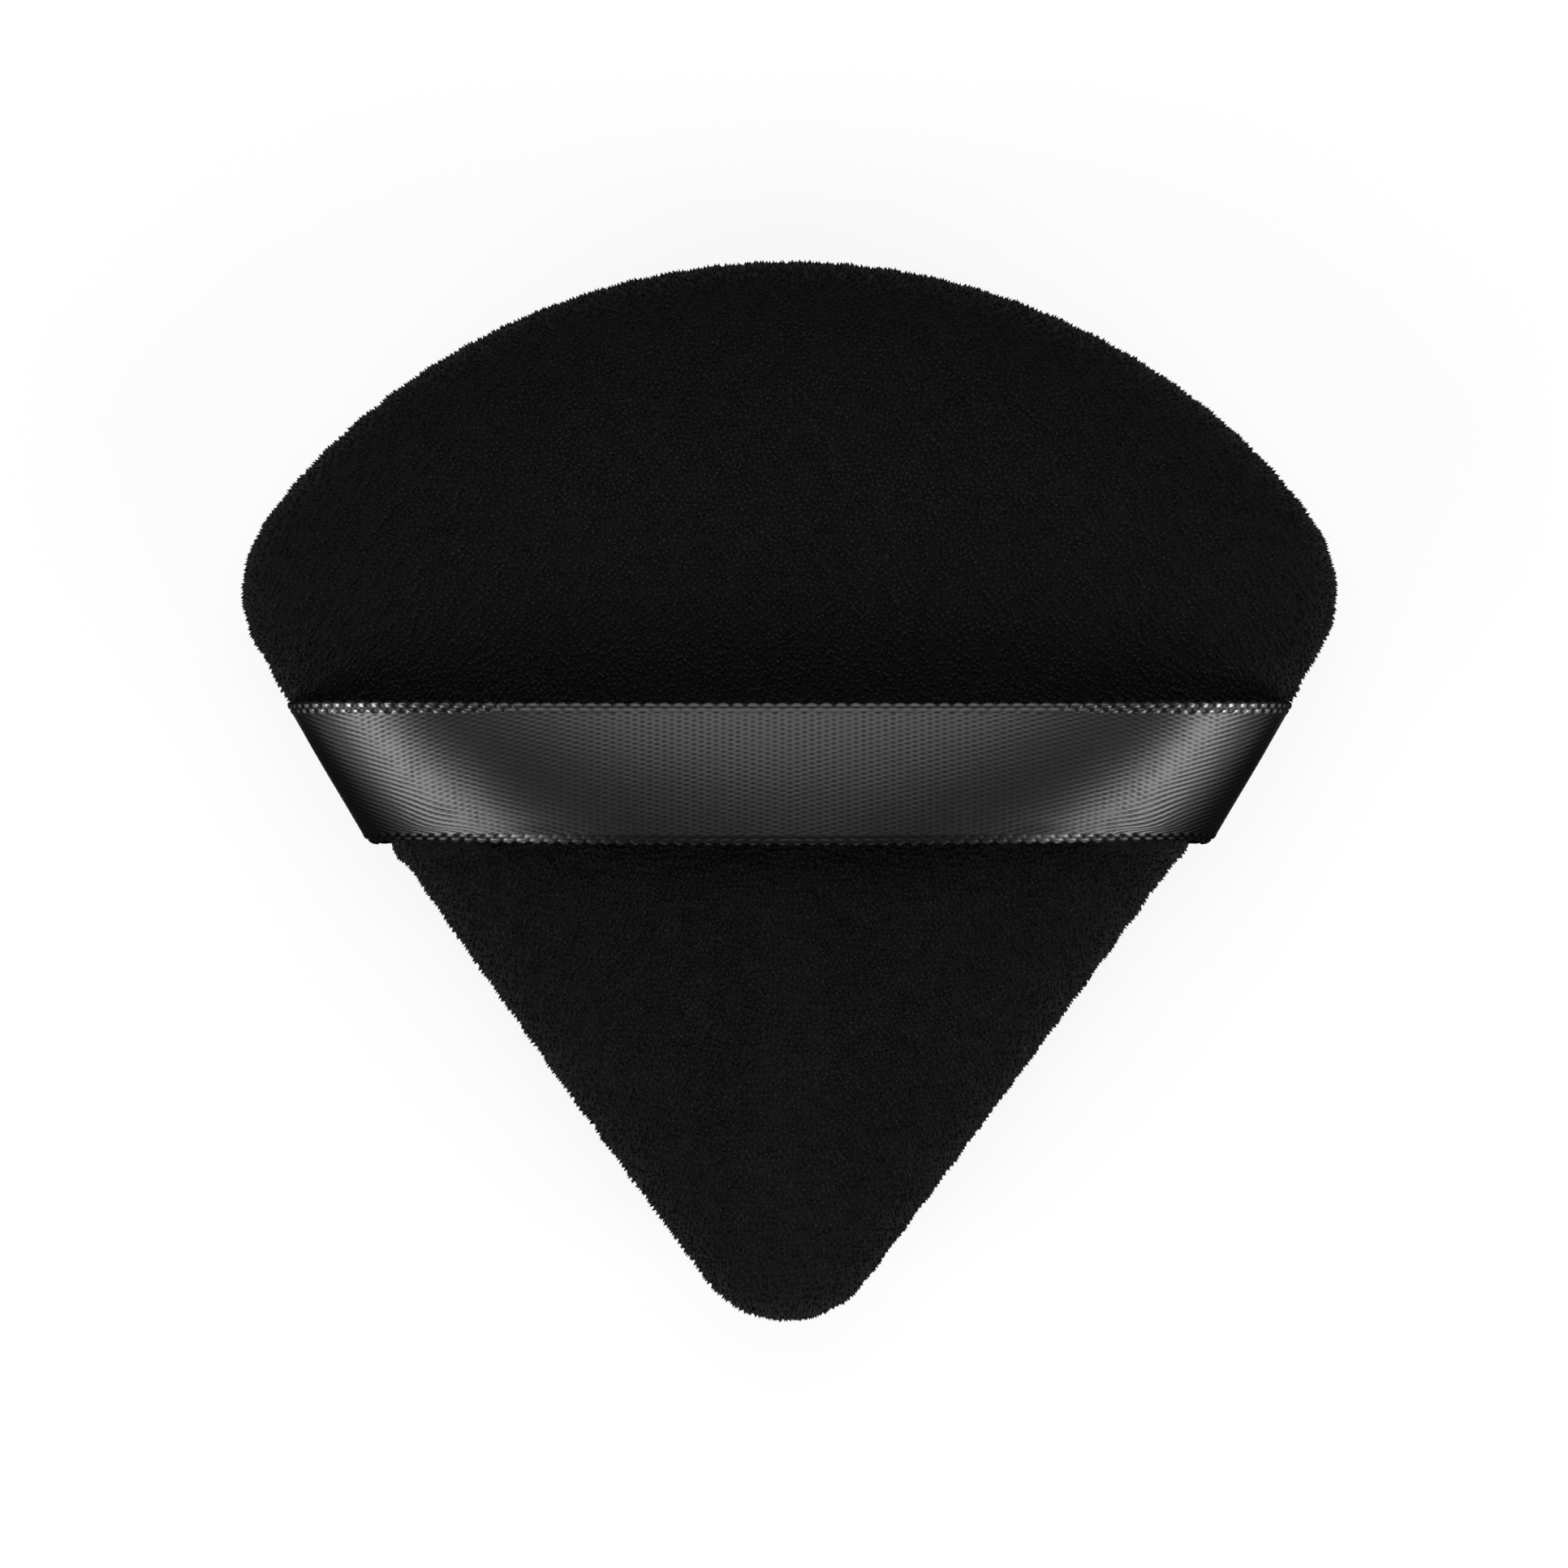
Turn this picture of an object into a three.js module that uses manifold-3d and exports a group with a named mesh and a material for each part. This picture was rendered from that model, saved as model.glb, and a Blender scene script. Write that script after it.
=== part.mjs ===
// A velour powder puff with a ribbon strap, in millimetres, +Z up.
// It lies on its applying face with the strap on top. The wide fan edge faces +Y, the tip -Y,
// and the origin is under the middle of the outline, on the surface that the puff rests on.
import * as THREE from 'three';
import { mergeVertices } from 'three/addons/utils/BufferGeometryUtils.js';
import Module from 'manifold-3d';

// Outline of the puff, seen from the strap side.
const puffWidth = 75;
const puffLength = 72.5;
const cornerRadius = 8.07;
const cornerSetback = 22.31;
const tipRadius = 6.68;

// Cushion: how far each velour crown stands off the seam, and how full its shoulder is.
const crownHeight = 7.25;
const crownFullness = 3.2;
const restCutDepth = 0.5;
const crownPeakShare = 0.12;

// Velour, its seam and the threads that sew it.
const velourThickness = 1.4;
const seamAllowance = 4;
const panelGap = 0.3;
const threadDiameter = 0.3;
const stitchPitch = 3;
const stitchRise = 0.12;
const openingLength = 30;
const openingPlaceShare = 0.52;
const closingInset = 1.65;
const closingStitchHeight = 1.1;

// Ribbon strap.
const ribbonWidth = 9.5;
const ribbonThickness = 0.3;
const ribbonCentreAhead = 1.23;
const bowGap = 5.4;
const liftedHalfLength = 12;
const lowerEdgeStandoff = 1.25;
const upperFoldHeight = 0.6;
const lowerFoldHeight = 1.5;
const upperBowFullness = 3.2;
const lowerBowFullness = 2.1;
const bowFadePower = 0.7;

// Clearances between pieces that touch on the real puff.
const clothClearance = 0.3;
const threadClearance = 0.3;
const ribbonJoinGap = 0.3;

// Counts of stations, rings and steps.
const fanSteps = 14;
const cornerSteps = 7;
const sideSteps = 9;
const tipSteps = 8;
const crownRings = 8;
const stepsPerStitch = 2;
const ribbonAcross = 5;
const bowSteps = 16;
const foldSteps = 6;
const tailSteps = 2;
const middleSteps = 10;

const quarterTurn = Math.PI / 2;
const frontEdge = puffLength / 2;
const seamHeight = crownHeight - restCutDepth;
const ribbonUpperAhead = ribbonCentreAhead + ribbonWidth / 2;
const ribbonLowerAhead = ribbonCentreAhead - ribbonWidth / 2;
const crownPeak = new THREE.Vector2(0, crownPeakShare * frontEdge);

const velourBlack = new THREE.MeshStandardMaterial({ color: 0x0b0b0c, roughness: 0.95, metalness: 0 });
const satinBlack = new THREE.MeshStandardMaterial({ color: 0x161617, roughness: 0.38, metalness: 0 });
const threadBlack = new THREE.MeshStandardMaterial({ color: 0x101010, roughness: 0.7, metalness: 0 });
const foamWhite = new THREE.MeshStandardMaterial({ color: 0xe6e1d6, roughness: 0.9, metalness: 0 });

const wasm = await Module();
wasm.setup();

function lerp(from, to, share) {
  return from + (to - from) * share;
}

// The outline's circles on the +X half, and the direction that its straight side faces.
function outlineShape() {
  const cornerX = puffWidth / 2 - cornerRadius;
  const cornerY = frontEdge - cornerSetback;
  const cornerSpread = cornerX ** 2 + cornerSetback ** 2 - cornerRadius ** 2;
  const fanRadius = cornerSpread / (2 * (cornerSetback - cornerRadius));
  const fanCentre = new THREE.Vector2(0, frontEdge - fanRadius);
  const cornerCentre = new THREE.Vector2(cornerX, cornerY);
  const tipCentre = new THREE.Vector2(0, tipRadius - frontEdge);
  const tipToCorner = cornerCentre.clone().sub(tipCentre);
  const sideNormal = tipToCorner.angle() - Math.acos((tipRadius - cornerRadius) / tipToCorner.length());
  const fanStart = Math.atan2(cornerY - fanCentre.y, cornerX);
  return { fanCentre, fanRadius, cornerCentre, tipCentre, sideNormal, fanStart };
}

const outline = outlineShape();

// A station of the outline: a point on it, and the way in which its offset outlines move from it.
function arcStations(centre, radius, from, to, steps) {
  return Array.from({ length: steps + 1 }, (_, i) => {
    const angle = lerp(from, to, i / steps);
    const out = new THREE.Vector2(Math.cos(angle), Math.sin(angle));
    return { point: out.clone().multiplyScalar(radius).add(centre), out };
  });
}

function sideStations(from, to, steps) {
  return Array.from({ length: steps - 1 }, (_, i) => {
    return { point: from.point.clone().lerp(to.point, (i + 1) / steps), out: from.out };
  });
}

function mirrored(station) {
  const flip = new THREE.Vector2(-1, 1);
  return { point: station.point.clone().multiply(flip), out: station.out.clone().multiply(flip) };
}

// All stations counter-clockwise, from the middle of the tip round to the last one before it.
function outlineStations() {
  const { fanCentre, fanRadius, cornerCentre, tipCentre, sideNormal, fanStart } = outline;
  const tip = arcStations(tipCentre, tipRadius, -quarterTurn, sideNormal, tipSteps / 2);
  const corner = arcStations(cornerCentre, cornerRadius, sideNormal, fanStart, cornerSteps);
  const fan = arcStations(fanCentre, fanRadius, fanStart, quarterTurn, fanSteps / 2);
  const side = sideStations(tip.at(-1), corner[0], sideSteps);
  const half = [...tip, ...side, ...corner, ...fan.slice(1)];
  return [...half, ...half.slice(1, -1).reverse().map(mirrored)];
}

const stations = outlineStations();
const crownReach = Math.max(...stations.map(({ point }) => point.distanceTo(crownPeak)));

// A level loop round the puff: the outline moved in by an inset, then drawn towards the crown's peak.
function loopAt(inset, share, height) {
  return stations.map(({ point, out }) => {
    const edge = point.clone().addScaledVector(out, -inset);
    const flat = crownPeak.clone().lerp(edge, share);
    return new THREE.Vector3(flat.x, flat.y, height);
  });
}

// How far out a crown of the given height has spread, as a share, at a rise over the seam plane.
function crownShareAt(crown, rise) {
  return (1 - (rise / crown) ** crownFullness) ** (1 / crownFullness);
}

// Loops of a crown from near its peak to its rim. Crowns inside each other have theirs in the same
// places, so that the layers stay evenly apart.
function crownLoops(inset, crown, rimRise, place) {
  const angles = Array.from({ length: crownRings - 1 }, (_, i) => (quarterTurn * (i + 1)) / crownRings);
  const rises = angles.map((angle) => crown * Math.cos(angle) ** (2 / crownFullness));
  return [...rises.filter((rise) => rise > rimRise), rimRise].map((rise) => {
    return loopAt(inset, crownShareAt(crown, rise), place(rise));
  });
}

function trianglesToGeometry(points, faces) {
  const geometry = new THREE.BufferGeometry();
  const flat = points.flatMap((p) => [p.x, p.y, p.z]);
  geometry.setAttribute('position', new THREE.Float32BufferAttribute(flat, 3));
  geometry.setIndex(faces.flat());
  return geometry;
}

// A closed skin through level loops, shut at both ends by a point. Facing out when the loops run down
// the outside and turned when they run up it.
function skinThroughLoops(first, loops, last, turned) {
  const count = loops[0].length;
  const points = [first, ...loops.flat(), last];
  const at = (loop, i) => 1 + loop * count + (i % count);
  const faces = [];
  for (let i = 0; i < count; i += 1) {
    faces.push([0, at(0, i), at(0, i + 1)]);
    for (let loop = 1; loop < loops.length; loop += 1) {
      faces.push([at(loop - 1, i), at(loop, i), at(loop, i + 1)]);
      faces.push([at(loop - 1, i), at(loop, i + 1), at(loop - 1, i + 1)]);
    }
    faces.push([at(loops.length - 1, i), points.length - 1, at(loops.length - 1, i + 1)]);
  }
  return trianglesToGeometry(points, turned ? faces.map(([a, b, c]) => [a, c, b]) : faces);
}

function toSolid(geometry) {
  return new wasm.Manifold(
    new wasm.Mesh({
      numProp: 3,
      vertProperties: geometry.attributes.position.array,
      triVerts: new Uint32Array(geometry.index.array),
    }),
  );
}

function fromSolid(solid) {
  const mesh = solid.getMesh();
  const geometry = new THREE.BufferGeometry();
  geometry.setAttribute('position', new THREE.Float32BufferAttribute(mesh.vertProperties, 3));
  geometry.setIndex([...mesh.triVerts]);
  return geometry;
}

function namedMesh(name, geometry, material) {
  const shown = geometry.toNonIndexed();
  shown.computeVertexNormals();
  const mesh = new THREE.Mesh(shown, material);
  mesh.name = name;
  return mesh;
}

// One velour cloth: its crown, the rim, the seam allowance turned in at the seam and the inner face.
// Side +1 is the back panel, over the seam, and side -1 the front panel under it.
function velourCloth(side) {
  const place = (rise) => Math.max(0, seamHeight + side * rise);
  const inside = (rise) => seamHeight + side * rise;
  const halfGap = panelGap / 2;
  const allowanceTop = halfGap + velourThickness;
  const outer = crownLoops(0, crownHeight, halfGap, place);
  const inner = crownLoops(velourThickness, crownHeight - velourThickness, allowanceTop, inside);
  const allowance = [
    loopAt(seamAllowance, 1, place(halfGap)),
    loopAt(seamAllowance, 1, place(allowanceTop)),
  ];
  const peak = new THREE.Vector3(crownPeak.x, crownPeak.y, place(crownHeight));
  const ceiling = new THREE.Vector3(crownPeak.x, crownPeak.y, inside(crownHeight - velourThickness));
  return skinThroughLoops(peak, [...outer, ...allowance, ...inner.reverse()], ceiling, side < 0);
}

// The half-width of the outline where its straight side passes a place along its length.
function sideHalfWidth(ahead) {
  const { tipCentre, sideNormal } = outline;
  return (tipRadius - (ahead - tipCentre.y) * Math.sin(sideNormal)) / Math.cos(sideNormal);
}

// The ribbon's route at one place across its width, where across is 0 at its upper edge and 1 at its
// lower edge: a flat tail in the seam, a fold up and round the rim, and half of the bow.
function ribbonRoute(across) {
  const ahead = ribbonUpperAhead - ribbonWidth * across;
  const slantShare = 1 / Math.cos(outline.sideNormal);
  const rim = sideHalfWidth(ahead);
  const stand = (clothClearance + ribbonThickness / 2) * slantShare + lowerEdgeStandoff * across;
  const widest = rim + stand;
  const foldHeight = lerp(upperFoldHeight, lowerFoldHeight, across);
  const fullness = lerp(upperBowFullness, lowerBowFullness, across ** bowFadePower);
  const top = seamHeight + crownHeight + bowGap + ribbonThickness / 2;
  const foot = seamHeight + foldHeight;
  const bow = (angle) => {
    const x = widest * Math.sin(angle) ** (2 / fullness);
    return new THREE.Vector3(x, ahead, foot + (top - foot) * Math.cos(angle) ** (2 / fullness));
  };
  const bowAngleAt = (x) => Math.asin((x / widest) ** (fullness / 2));
  const fold = (angle) => {
    return new THREE.Vector3(rim + stand * Math.cos(angle), ahead, foot - foldHeight * Math.sin(angle));
  };
  const tail = (share) => {
    const length = (seamAllowance - clothClearance) * slantShare;
    return new THREE.Vector3(rim - length * share, ahead, seamHeight);
  };
  return { bow, bowAngleAt, fold, tail };
}

// A ribbon surface of the given rows of points, thickened evenly to both sides.
function thickened(rows) {
  const down = rows.length;
  const wide = rows[0].length;
  const half = ribbonThickness / 2;
  const normalAt = (r, c) => {
    const along = rows[Math.min(r + 1, down - 1)][c].clone().sub(rows[Math.max(r - 1, 0)][c]);
    const sideways = rows[r][Math.min(c + 1, wide - 1)].clone().sub(rows[r][Math.max(c - 1, 0)]);
    return along.cross(sideways).normalize();
  };
  const moved = (p, r, c, offset) => p.clone().addScaledVector(normalAt(r, c), offset);
  const layer = (offset) => rows.flatMap((row, r) => row.map((p, c) => moved(p, r, c, offset)));
  const points = [...layer(half), ...layer(-half)];
  const upper = (r, c) => r * wide + c;
  const lower = (r, c) => down * wide + upper(r, c);
  const faces = [];
  const quad = (a, b, c, d) => faces.push([a, b, c], [a, c, d]);
  for (let r = 0; r + 1 < down; r += 1) {
    for (let c = 0; c + 1 < wide; c += 1) {
      quad(upper(r, c), upper(r + 1, c), upper(r + 1, c + 1), upper(r, c + 1));
      quad(lower(r, c), lower(r, c + 1), lower(r + 1, c + 1), lower(r + 1, c));
    }
    quad(upper(r + 1, 0), upper(r, 0), lower(r, 0), lower(r + 1, 0));
    quad(upper(r, wide - 1), upper(r + 1, wide - 1), lower(r + 1, wide - 1), lower(r, wide - 1));
  }
  for (let c = 0; c + 1 < wide; c += 1) {
    quad(upper(0, c), upper(0, c + 1), lower(0, c + 1), lower(0, c));
    quad(upper(down - 1, c + 1), upper(down - 1, c), lower(down - 1, c), lower(down - 1, c + 1));
  }
  return trianglesToGeometry(points, faces);
}

// Even shares from 0 to 1.
function sharesTo(steps) {
  return Array.from({ length: steps + 1 }, (_, i) => i / steps);
}

// The +X end of the ribbon, from beside the lifted middle to the end of its tail in the seam.
function ribbonEnd() {
  const start = liftedHalfLength + ribbonJoinGap;
  const columns = sharesTo(ribbonAcross).map((across) => {
    const route = ribbonRoute(across);
    const from = route.bowAngleAt(start);
    const bow = sharesTo(bowSteps).map((share) => route.bow(lerp(from, quarterTurn, share)));
    const fold = sharesTo(foldSteps).slice(1).map((share) => route.fold(quarterTurn * share));
    const tail = sharesTo(tailSteps).slice(1).map((share) => route.tail(share));
    return [...bow, ...fold, ...tail];
  });
  return thickened(columns[0].map((_, r) => columns.map((column) => column[r])));
}

// The middle of the ribbon, which a finger lifts or presses down.
function ribbonMiddle() {
  const routes = sharesTo(ribbonAcross).map((across) => ribbonRoute(across));
  const rows = sharesTo(2 * middleSteps).map((share) => {
    const x = lerp(-liftedHalfLength, liftedHalfLength, share);
    return routes.map((route) => {
      const point = route.bow(route.bowAngleAt(Math.abs(x)));
      return new THREE.Vector3(x, point.y, point.z);
    });
  });
  return thickened(rows);
}

// The same piece on the other side of the puff, with its faces turned to point out again.
function mirroredGeometry(geometry) {
  const flipped = geometry.clone().scale(-1, 1, 1);
  const index = flipped.index.array;
  for (let i = 0; i < index.length; i += 3) {
    [index[i + 1], index[i + 2]] = [index[i + 2], index[i + 1]];
  }
  return flipped;
}

// The recess that both cloths leave for a ribbon tail, level across the seam.
function tailRecess() {
  const upper = ribbonUpperAhead + clothClearance;
  const lower = ribbonLowerAhead - clothClearance;
  const slantShare = 1 / Math.cos(outline.sideNormal);
  const inner = (seamAllowance + clothClearance) * slantShare;
  const outer = (clothClearance + ribbonThickness) * slantShare;
  const corners = [
    new THREE.Vector2(sideHalfWidth(lower) - inner, lower),
    new THREE.Vector2(sideHalfWidth(lower) + outer, lower),
    new THREE.Vector2(sideHalfWidth(upper) + outer, upper),
    new THREE.Vector2(sideHalfWidth(upper) - inner, upper),
  ];
  return levelPrism(corners, ribbonThickness / 2 + clothClearance);
}

// A prism over a level outline, as high above the seam plane as below it.
function levelPrism(corners, halfHeight) {
  const shape = new THREE.Shape(corners);
  const prism = new THREE.ExtrudeGeometry(shape, { depth: 2 * halfHeight, bevelEnabled: false });
  prism.deleteAttribute('normal');
  prism.deleteAttribute('uv');
  return mergeVertices(prism.translate(0, 0, seamHeight - halfHeight));
}

// Where the cover was left open for filling, on the side at -X, from its tip end towards the strap.
function fillingOpening() {
  const corner = arcStations(outline.cornerCentre, cornerRadius, outline.sideNormal, 0, 1)[0];
  const tip = arcStations(outline.tipCentre, tipRadius, outline.sideNormal, 0, 1)[0];
  const { point: tipEnd, out } = mirrored(tip);
  const along = mirrored(corner).point.sub(tipEnd).normalize();
  const free = (ribbonLowerAhead - clothClearance - tipEnd.y) / along.y;
  const start = tipEnd.clone().addScaledVector(along, (free - openingLength) * openingPlaceShare);
  return { start, along, inward: out.clone().negate() };
}

// A square-cut thread through the given points, held level by the vertical.
function threadThrough(points) {
  const half = threadDiameter / 2;
  const rings = points.map((point, i) => {
    const before = points[Math.max(i - 1, 0)];
    const after = points[Math.min(i + 1, points.length - 1)];
    const run = after.clone().sub(before).normalize();
    const level = new THREE.Vector3(-run.y, run.x, 0).normalize().multiplyScalar(half);
    const upright = run.clone().cross(level).normalize().multiplyScalar(half);
    return [level, upright.clone().negate(), level.clone().negate(), upright].map((v) => v.add(point));
  });
  const vertices = rings.flat();
  const faces = [[0, 1, 2], [0, 2, 3]];
  for (let i = 0; i + 1 < rings.length; i += 1) {
    for (let k = 0; k < 4; k += 1) {
      const here = 4 * i;
      const next = (k + 1) % 4;
      faces.push([here + k, here + 4 + k, here + 4 + next], [here + k, here + 4 + next, here + next]);
    }
  }
  const end = vertices.length - 4;
  faces.push([end, end + 2, end + 1], [end, end + 3, end + 2]);
  return trianglesToGeometry(vertices, faces);
}

// The seam line at an inset, open where the cover was filled, as evenly spaced level points.
function seamLine(inset, spacing) {
  const opening = fillingOpening();
  const first = opening.start.clone().addScaledVector(opening.inward, inset);
  const last = first.clone().addScaledVector(opening.along, openingLength);
  const loop = stations.map(({ point, out }) => point.clone().addScaledVector(out, -inset));
  const angleOf = (p) => Math.atan2(p.y - crownPeak.y, p.x - crownPeak.x);
  const turnFrom = (p) => (angleOf(p) - angleOf(first) + 4 * Math.PI) % (2 * Math.PI);
  const between = loop.filter((p) => turnFrom(p) < turnFrom(last)).sort((a, b) => turnFrom(a) - turnFrom(b));
  const path = new THREE.CurvePath();
  const corners = [first, ...between, last];
  corners.slice(1).forEach((corner, i) => path.add(new THREE.LineCurve(corners[i], corner)));
  const steps = Math.max(1, Math.round(path.getLength() / spacing));
  return path.getSpacedPoints(steps);
}

// Where a seam thread lies on its allowance: its rise over the seam plane, the height that it takes up
// and its inset, as close to the fold as the crown's inner face lets it.
function seamThreadPlace() {
  const rise = panelGap / 2 + velourThickness + threadClearance + threadDiameter / 2;
  const top = rise + stitchRise + threadDiameter / 2;
  const drawnIn = (1 - crownShareAt(crownHeight - velourThickness, top)) * crownReach;
  const inset = velourThickness + drawnIn + threadClearance + threadDiameter / 2;
  return { rise, top, inset };
}

// The needle thread over the back allowance for side +1, and the bobbin thread under the front one.
function seamThread(side) {
  const { rise, inset } = seamThreadPlace();
  const points = seamLine(inset, stitchPitch / stepsPerStitch).map((p, i) => {
    const lift = i % stepsPerStitch ? stitchRise : 0;
    return new THREE.Vector3(p.x, p.y, seamHeight + side * (rise + lift));
  });
  return threadThrough(points);
}

// The hand stitches that shut the opening: one stitch in the back fold, the next in the front fold.
function closingThread() {
  const { start, along, inward } = fillingOpening();
  const stitches = Math.max(2, Math.round(openingLength / stitchPitch));
  const pitch = openingLength / stitches;
  const points = Array.from({ length: stitches }, (_, i) => {
    const height = seamHeight + (i % 2 ? -closingStitchHeight : closingStitchHeight) / 2;
    const ends = [i * pitch + threadDiameter, (i + 1) * pitch - threadDiameter];
    return ends.map((far) => {
      const flat = start.clone().addScaledVector(inward, closingInset).addScaledVector(along, far);
      return new THREE.Vector3(flat.x, flat.y, height);
    });
  });
  return threadThrough(points.flat());
}

// The narrow room that both folds leave for the closing stitches.
function closingChannel() {
  const { start, along, inward } = fillingOpening();
  const room = threadDiameter / 2 + threadClearance;
  const corner = (inset, far) => start.clone().addScaledVector(inward, inset).addScaledVector(along, far);
  const corners = [
    corner(closingInset - room, -room),
    corner(closingInset - room, openingLength + room),
    corner(closingInset + room, openingLength + room),
    corner(closingInset + room, -room),
  ];
  return levelPrism(corners, closingStitchHeight / 2 + room);
}

// A finished velour panel: the cloth with room cut for the ribbon tails and the closing stitches.
function velourPanel(side) {
  const recess = tailRecess();
  const cuts = [recess, mirroredGeometry(recess), closingChannel()].map(toSolid);
  return fromSolid(cuts.reduce((left, cut) => left.subtract(cut), toSolid(velourCloth(side))));
}

// The sponge: it fills both crowns and steps in at its rim, where the allowances and threads lie.
function foamCore() {
  const inset = velourThickness + clothClearance;
  const crown = crownHeight - velourThickness - clothClearance;
  const ledge = panelGap / 2 + velourThickness + clothClearance;
  const thread = seamThreadPlace();
  const lip = thread.top + threadClearance;
  const lipInset = thread.inset + threadDiameter / 2 + threadClearance;
  const groove = seamAllowance + clothClearance;
  const place = (side) => (rise) => seamHeight + side * rise;
  const upper = crownLoops(inset, crown, lip, place(1));
  const lower = crownLoops(inset, crown, lip, place(-1)).reverse();
  const middle = [
    loopAt(lipInset, 1, seamHeight + lip),
    loopAt(lipInset, 1, seamHeight + ledge),
    loopAt(groove, 1, seamHeight + ledge),
    loopAt(groove, 1, seamHeight - ledge),
    loopAt(lipInset, 1, seamHeight - ledge),
    loopAt(lipInset, 1, seamHeight - lip),
  ];
  const peak = new THREE.Vector3(crownPeak.x, crownPeak.y, seamHeight + crown);
  const base = new THREE.Vector3(crownPeak.x, crownPeak.y, seamHeight - crown);
  return skinThroughLoops(peak, [...upper, ...middle, ...lower], base, false);
}

const puff = new THREE.Group();
const cover = new THREE.Group();
const strap = new THREE.Group();
puff.add(cover, strap);

cover.add(namedMesh('back_velour_panel', velourPanel(1), velourBlack));
cover.add(namedMesh('front_velour_panel', velourPanel(-1), velourBlack));
cover.add(namedMesh('foam_core', foamCore(), foamWhite));
cover.add(namedMesh('seam_needle_thread', seamThread(1), threadBlack));
cover.add(namedMesh('seam_bobbin_thread', seamThread(-1), threadBlack));
cover.add(namedMesh('closing_thread', closingThread(), threadBlack));

const rightEnd = ribbonEnd();
strap.add(namedMesh('strap_right_end', rightEnd, satinBlack));
strap.add(namedMesh('strap_middle', ribbonMiddle(), satinBlack));
strap.add(namedMesh('strap_left_end', mirroredGeometry(rightEnd), satinBlack));

export default puff;
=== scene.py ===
"""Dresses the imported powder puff: velour cover, sponge, sewing threads and satin ribbon strap."""

from __future__ import annotations

import logging
import math
from dataclasses import dataclass
from enum import Enum

import bpy
import numpy as np
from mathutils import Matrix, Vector, noise
from mathutils.kdtree import KDTree


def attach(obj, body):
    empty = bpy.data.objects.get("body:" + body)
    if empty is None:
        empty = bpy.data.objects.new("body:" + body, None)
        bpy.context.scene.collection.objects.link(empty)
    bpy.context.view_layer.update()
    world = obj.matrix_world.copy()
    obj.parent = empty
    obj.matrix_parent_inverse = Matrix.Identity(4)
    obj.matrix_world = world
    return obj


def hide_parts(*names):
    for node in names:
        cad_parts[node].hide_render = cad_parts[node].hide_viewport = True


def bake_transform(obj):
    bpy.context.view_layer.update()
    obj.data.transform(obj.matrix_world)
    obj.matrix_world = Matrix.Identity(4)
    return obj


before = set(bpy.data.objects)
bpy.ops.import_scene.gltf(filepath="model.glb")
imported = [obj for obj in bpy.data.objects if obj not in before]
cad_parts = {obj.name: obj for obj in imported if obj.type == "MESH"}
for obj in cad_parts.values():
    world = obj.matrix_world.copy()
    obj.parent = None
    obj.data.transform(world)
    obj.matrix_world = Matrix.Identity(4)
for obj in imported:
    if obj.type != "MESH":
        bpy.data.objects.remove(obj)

LOG = logging.getLogger("powder_puff")
MM = 0.001
TINY = 1e-6
WHITE = (1.0, 1.0, 1.0, 1.0)


class Face(Enum):
    """The two velour panels, by the way in which their crowns rise from the seam."""

    BACK = 1
    FRONT = -1


class StrapPart(Enum):
    """The three lengths of the ribbon, by the side of the puff that they lie on."""

    LEFT = -1
    MIDDLE = 0
    RIGHT = 1


def smooth_step(low: float, high: float, value: np.ndarray) -> np.ndarray:
    """Rises smoothly from 0 at low to 1 at high."""
    share = np.clip((value - low) / (high - low), 0.0, 1.0)
    return share * share * (3.0 - 2.0 * share)


def plateau(low: float, high: float, fade: float, value: np.ndarray) -> np.ndarray:
    """Is 1 from low to high, and falls smoothly to 0 over the fade beyond them."""
    return smooth_step(low - fade, low, value) * (1.0 - smooth_step(high, high + fade, value))


def bell(middle: float, width: float, value: np.ndarray) -> np.ndarray:
    """Is 1 at the middle and falls away smoothly on both sides of it."""
    return np.exp(-(((value - middle) / width) ** 2))


def wave(turns: np.ndarray) -> np.ndarray:
    """Swings from 1 to -1 and back once in each turn."""
    return np.cos(2.0 * math.pi * turns)


def ripple(points: np.ndarray, pitch: float, seed: float) -> np.ndarray:
    """Smooth noise from about -1 to 1 over places in millimetres, in patches of one pitch."""
    values = [noise.noise(place) for place in points.reshape(-1, 3) / pitch + seed]
    return np.array(values).reshape(points.shape[:-1])


def unit(vectors: np.ndarray) -> np.ndarray:
    """Gives vectors the length 1."""
    return vectors / np.maximum(np.linalg.norm(vectors, axis=-1, keepdims=True), 1e-12)


def ring_faces(rows: int, count: int) -> list[np.ndarray]:
    """Joins stacked rings of points, and closes them at both ends.

    Args:
        rows: How many rings there are.
        count: How many points each ring has. The first and last end point follow the rings.

    Returns:
        The quads between the rings, and the triangles at the first and the last end.
    """
    ring = np.arange(count)
    after = (ring + 1) % count
    starts = [row * count for row in range(rows)]
    quads = [
        np.column_stack([a + ring, b + ring, b + after, a + after])
        for a, b in zip(starts, starts[1:])
    ]
    peak, foot = np.full(count, rows * count), np.full(count, rows * count + 1)
    first = np.column_stack([peak, ring, after])
    last = np.column_stack([starts[-1] + after, starts[-1] + ring, foot])
    return [*quads, first, last]


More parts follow.
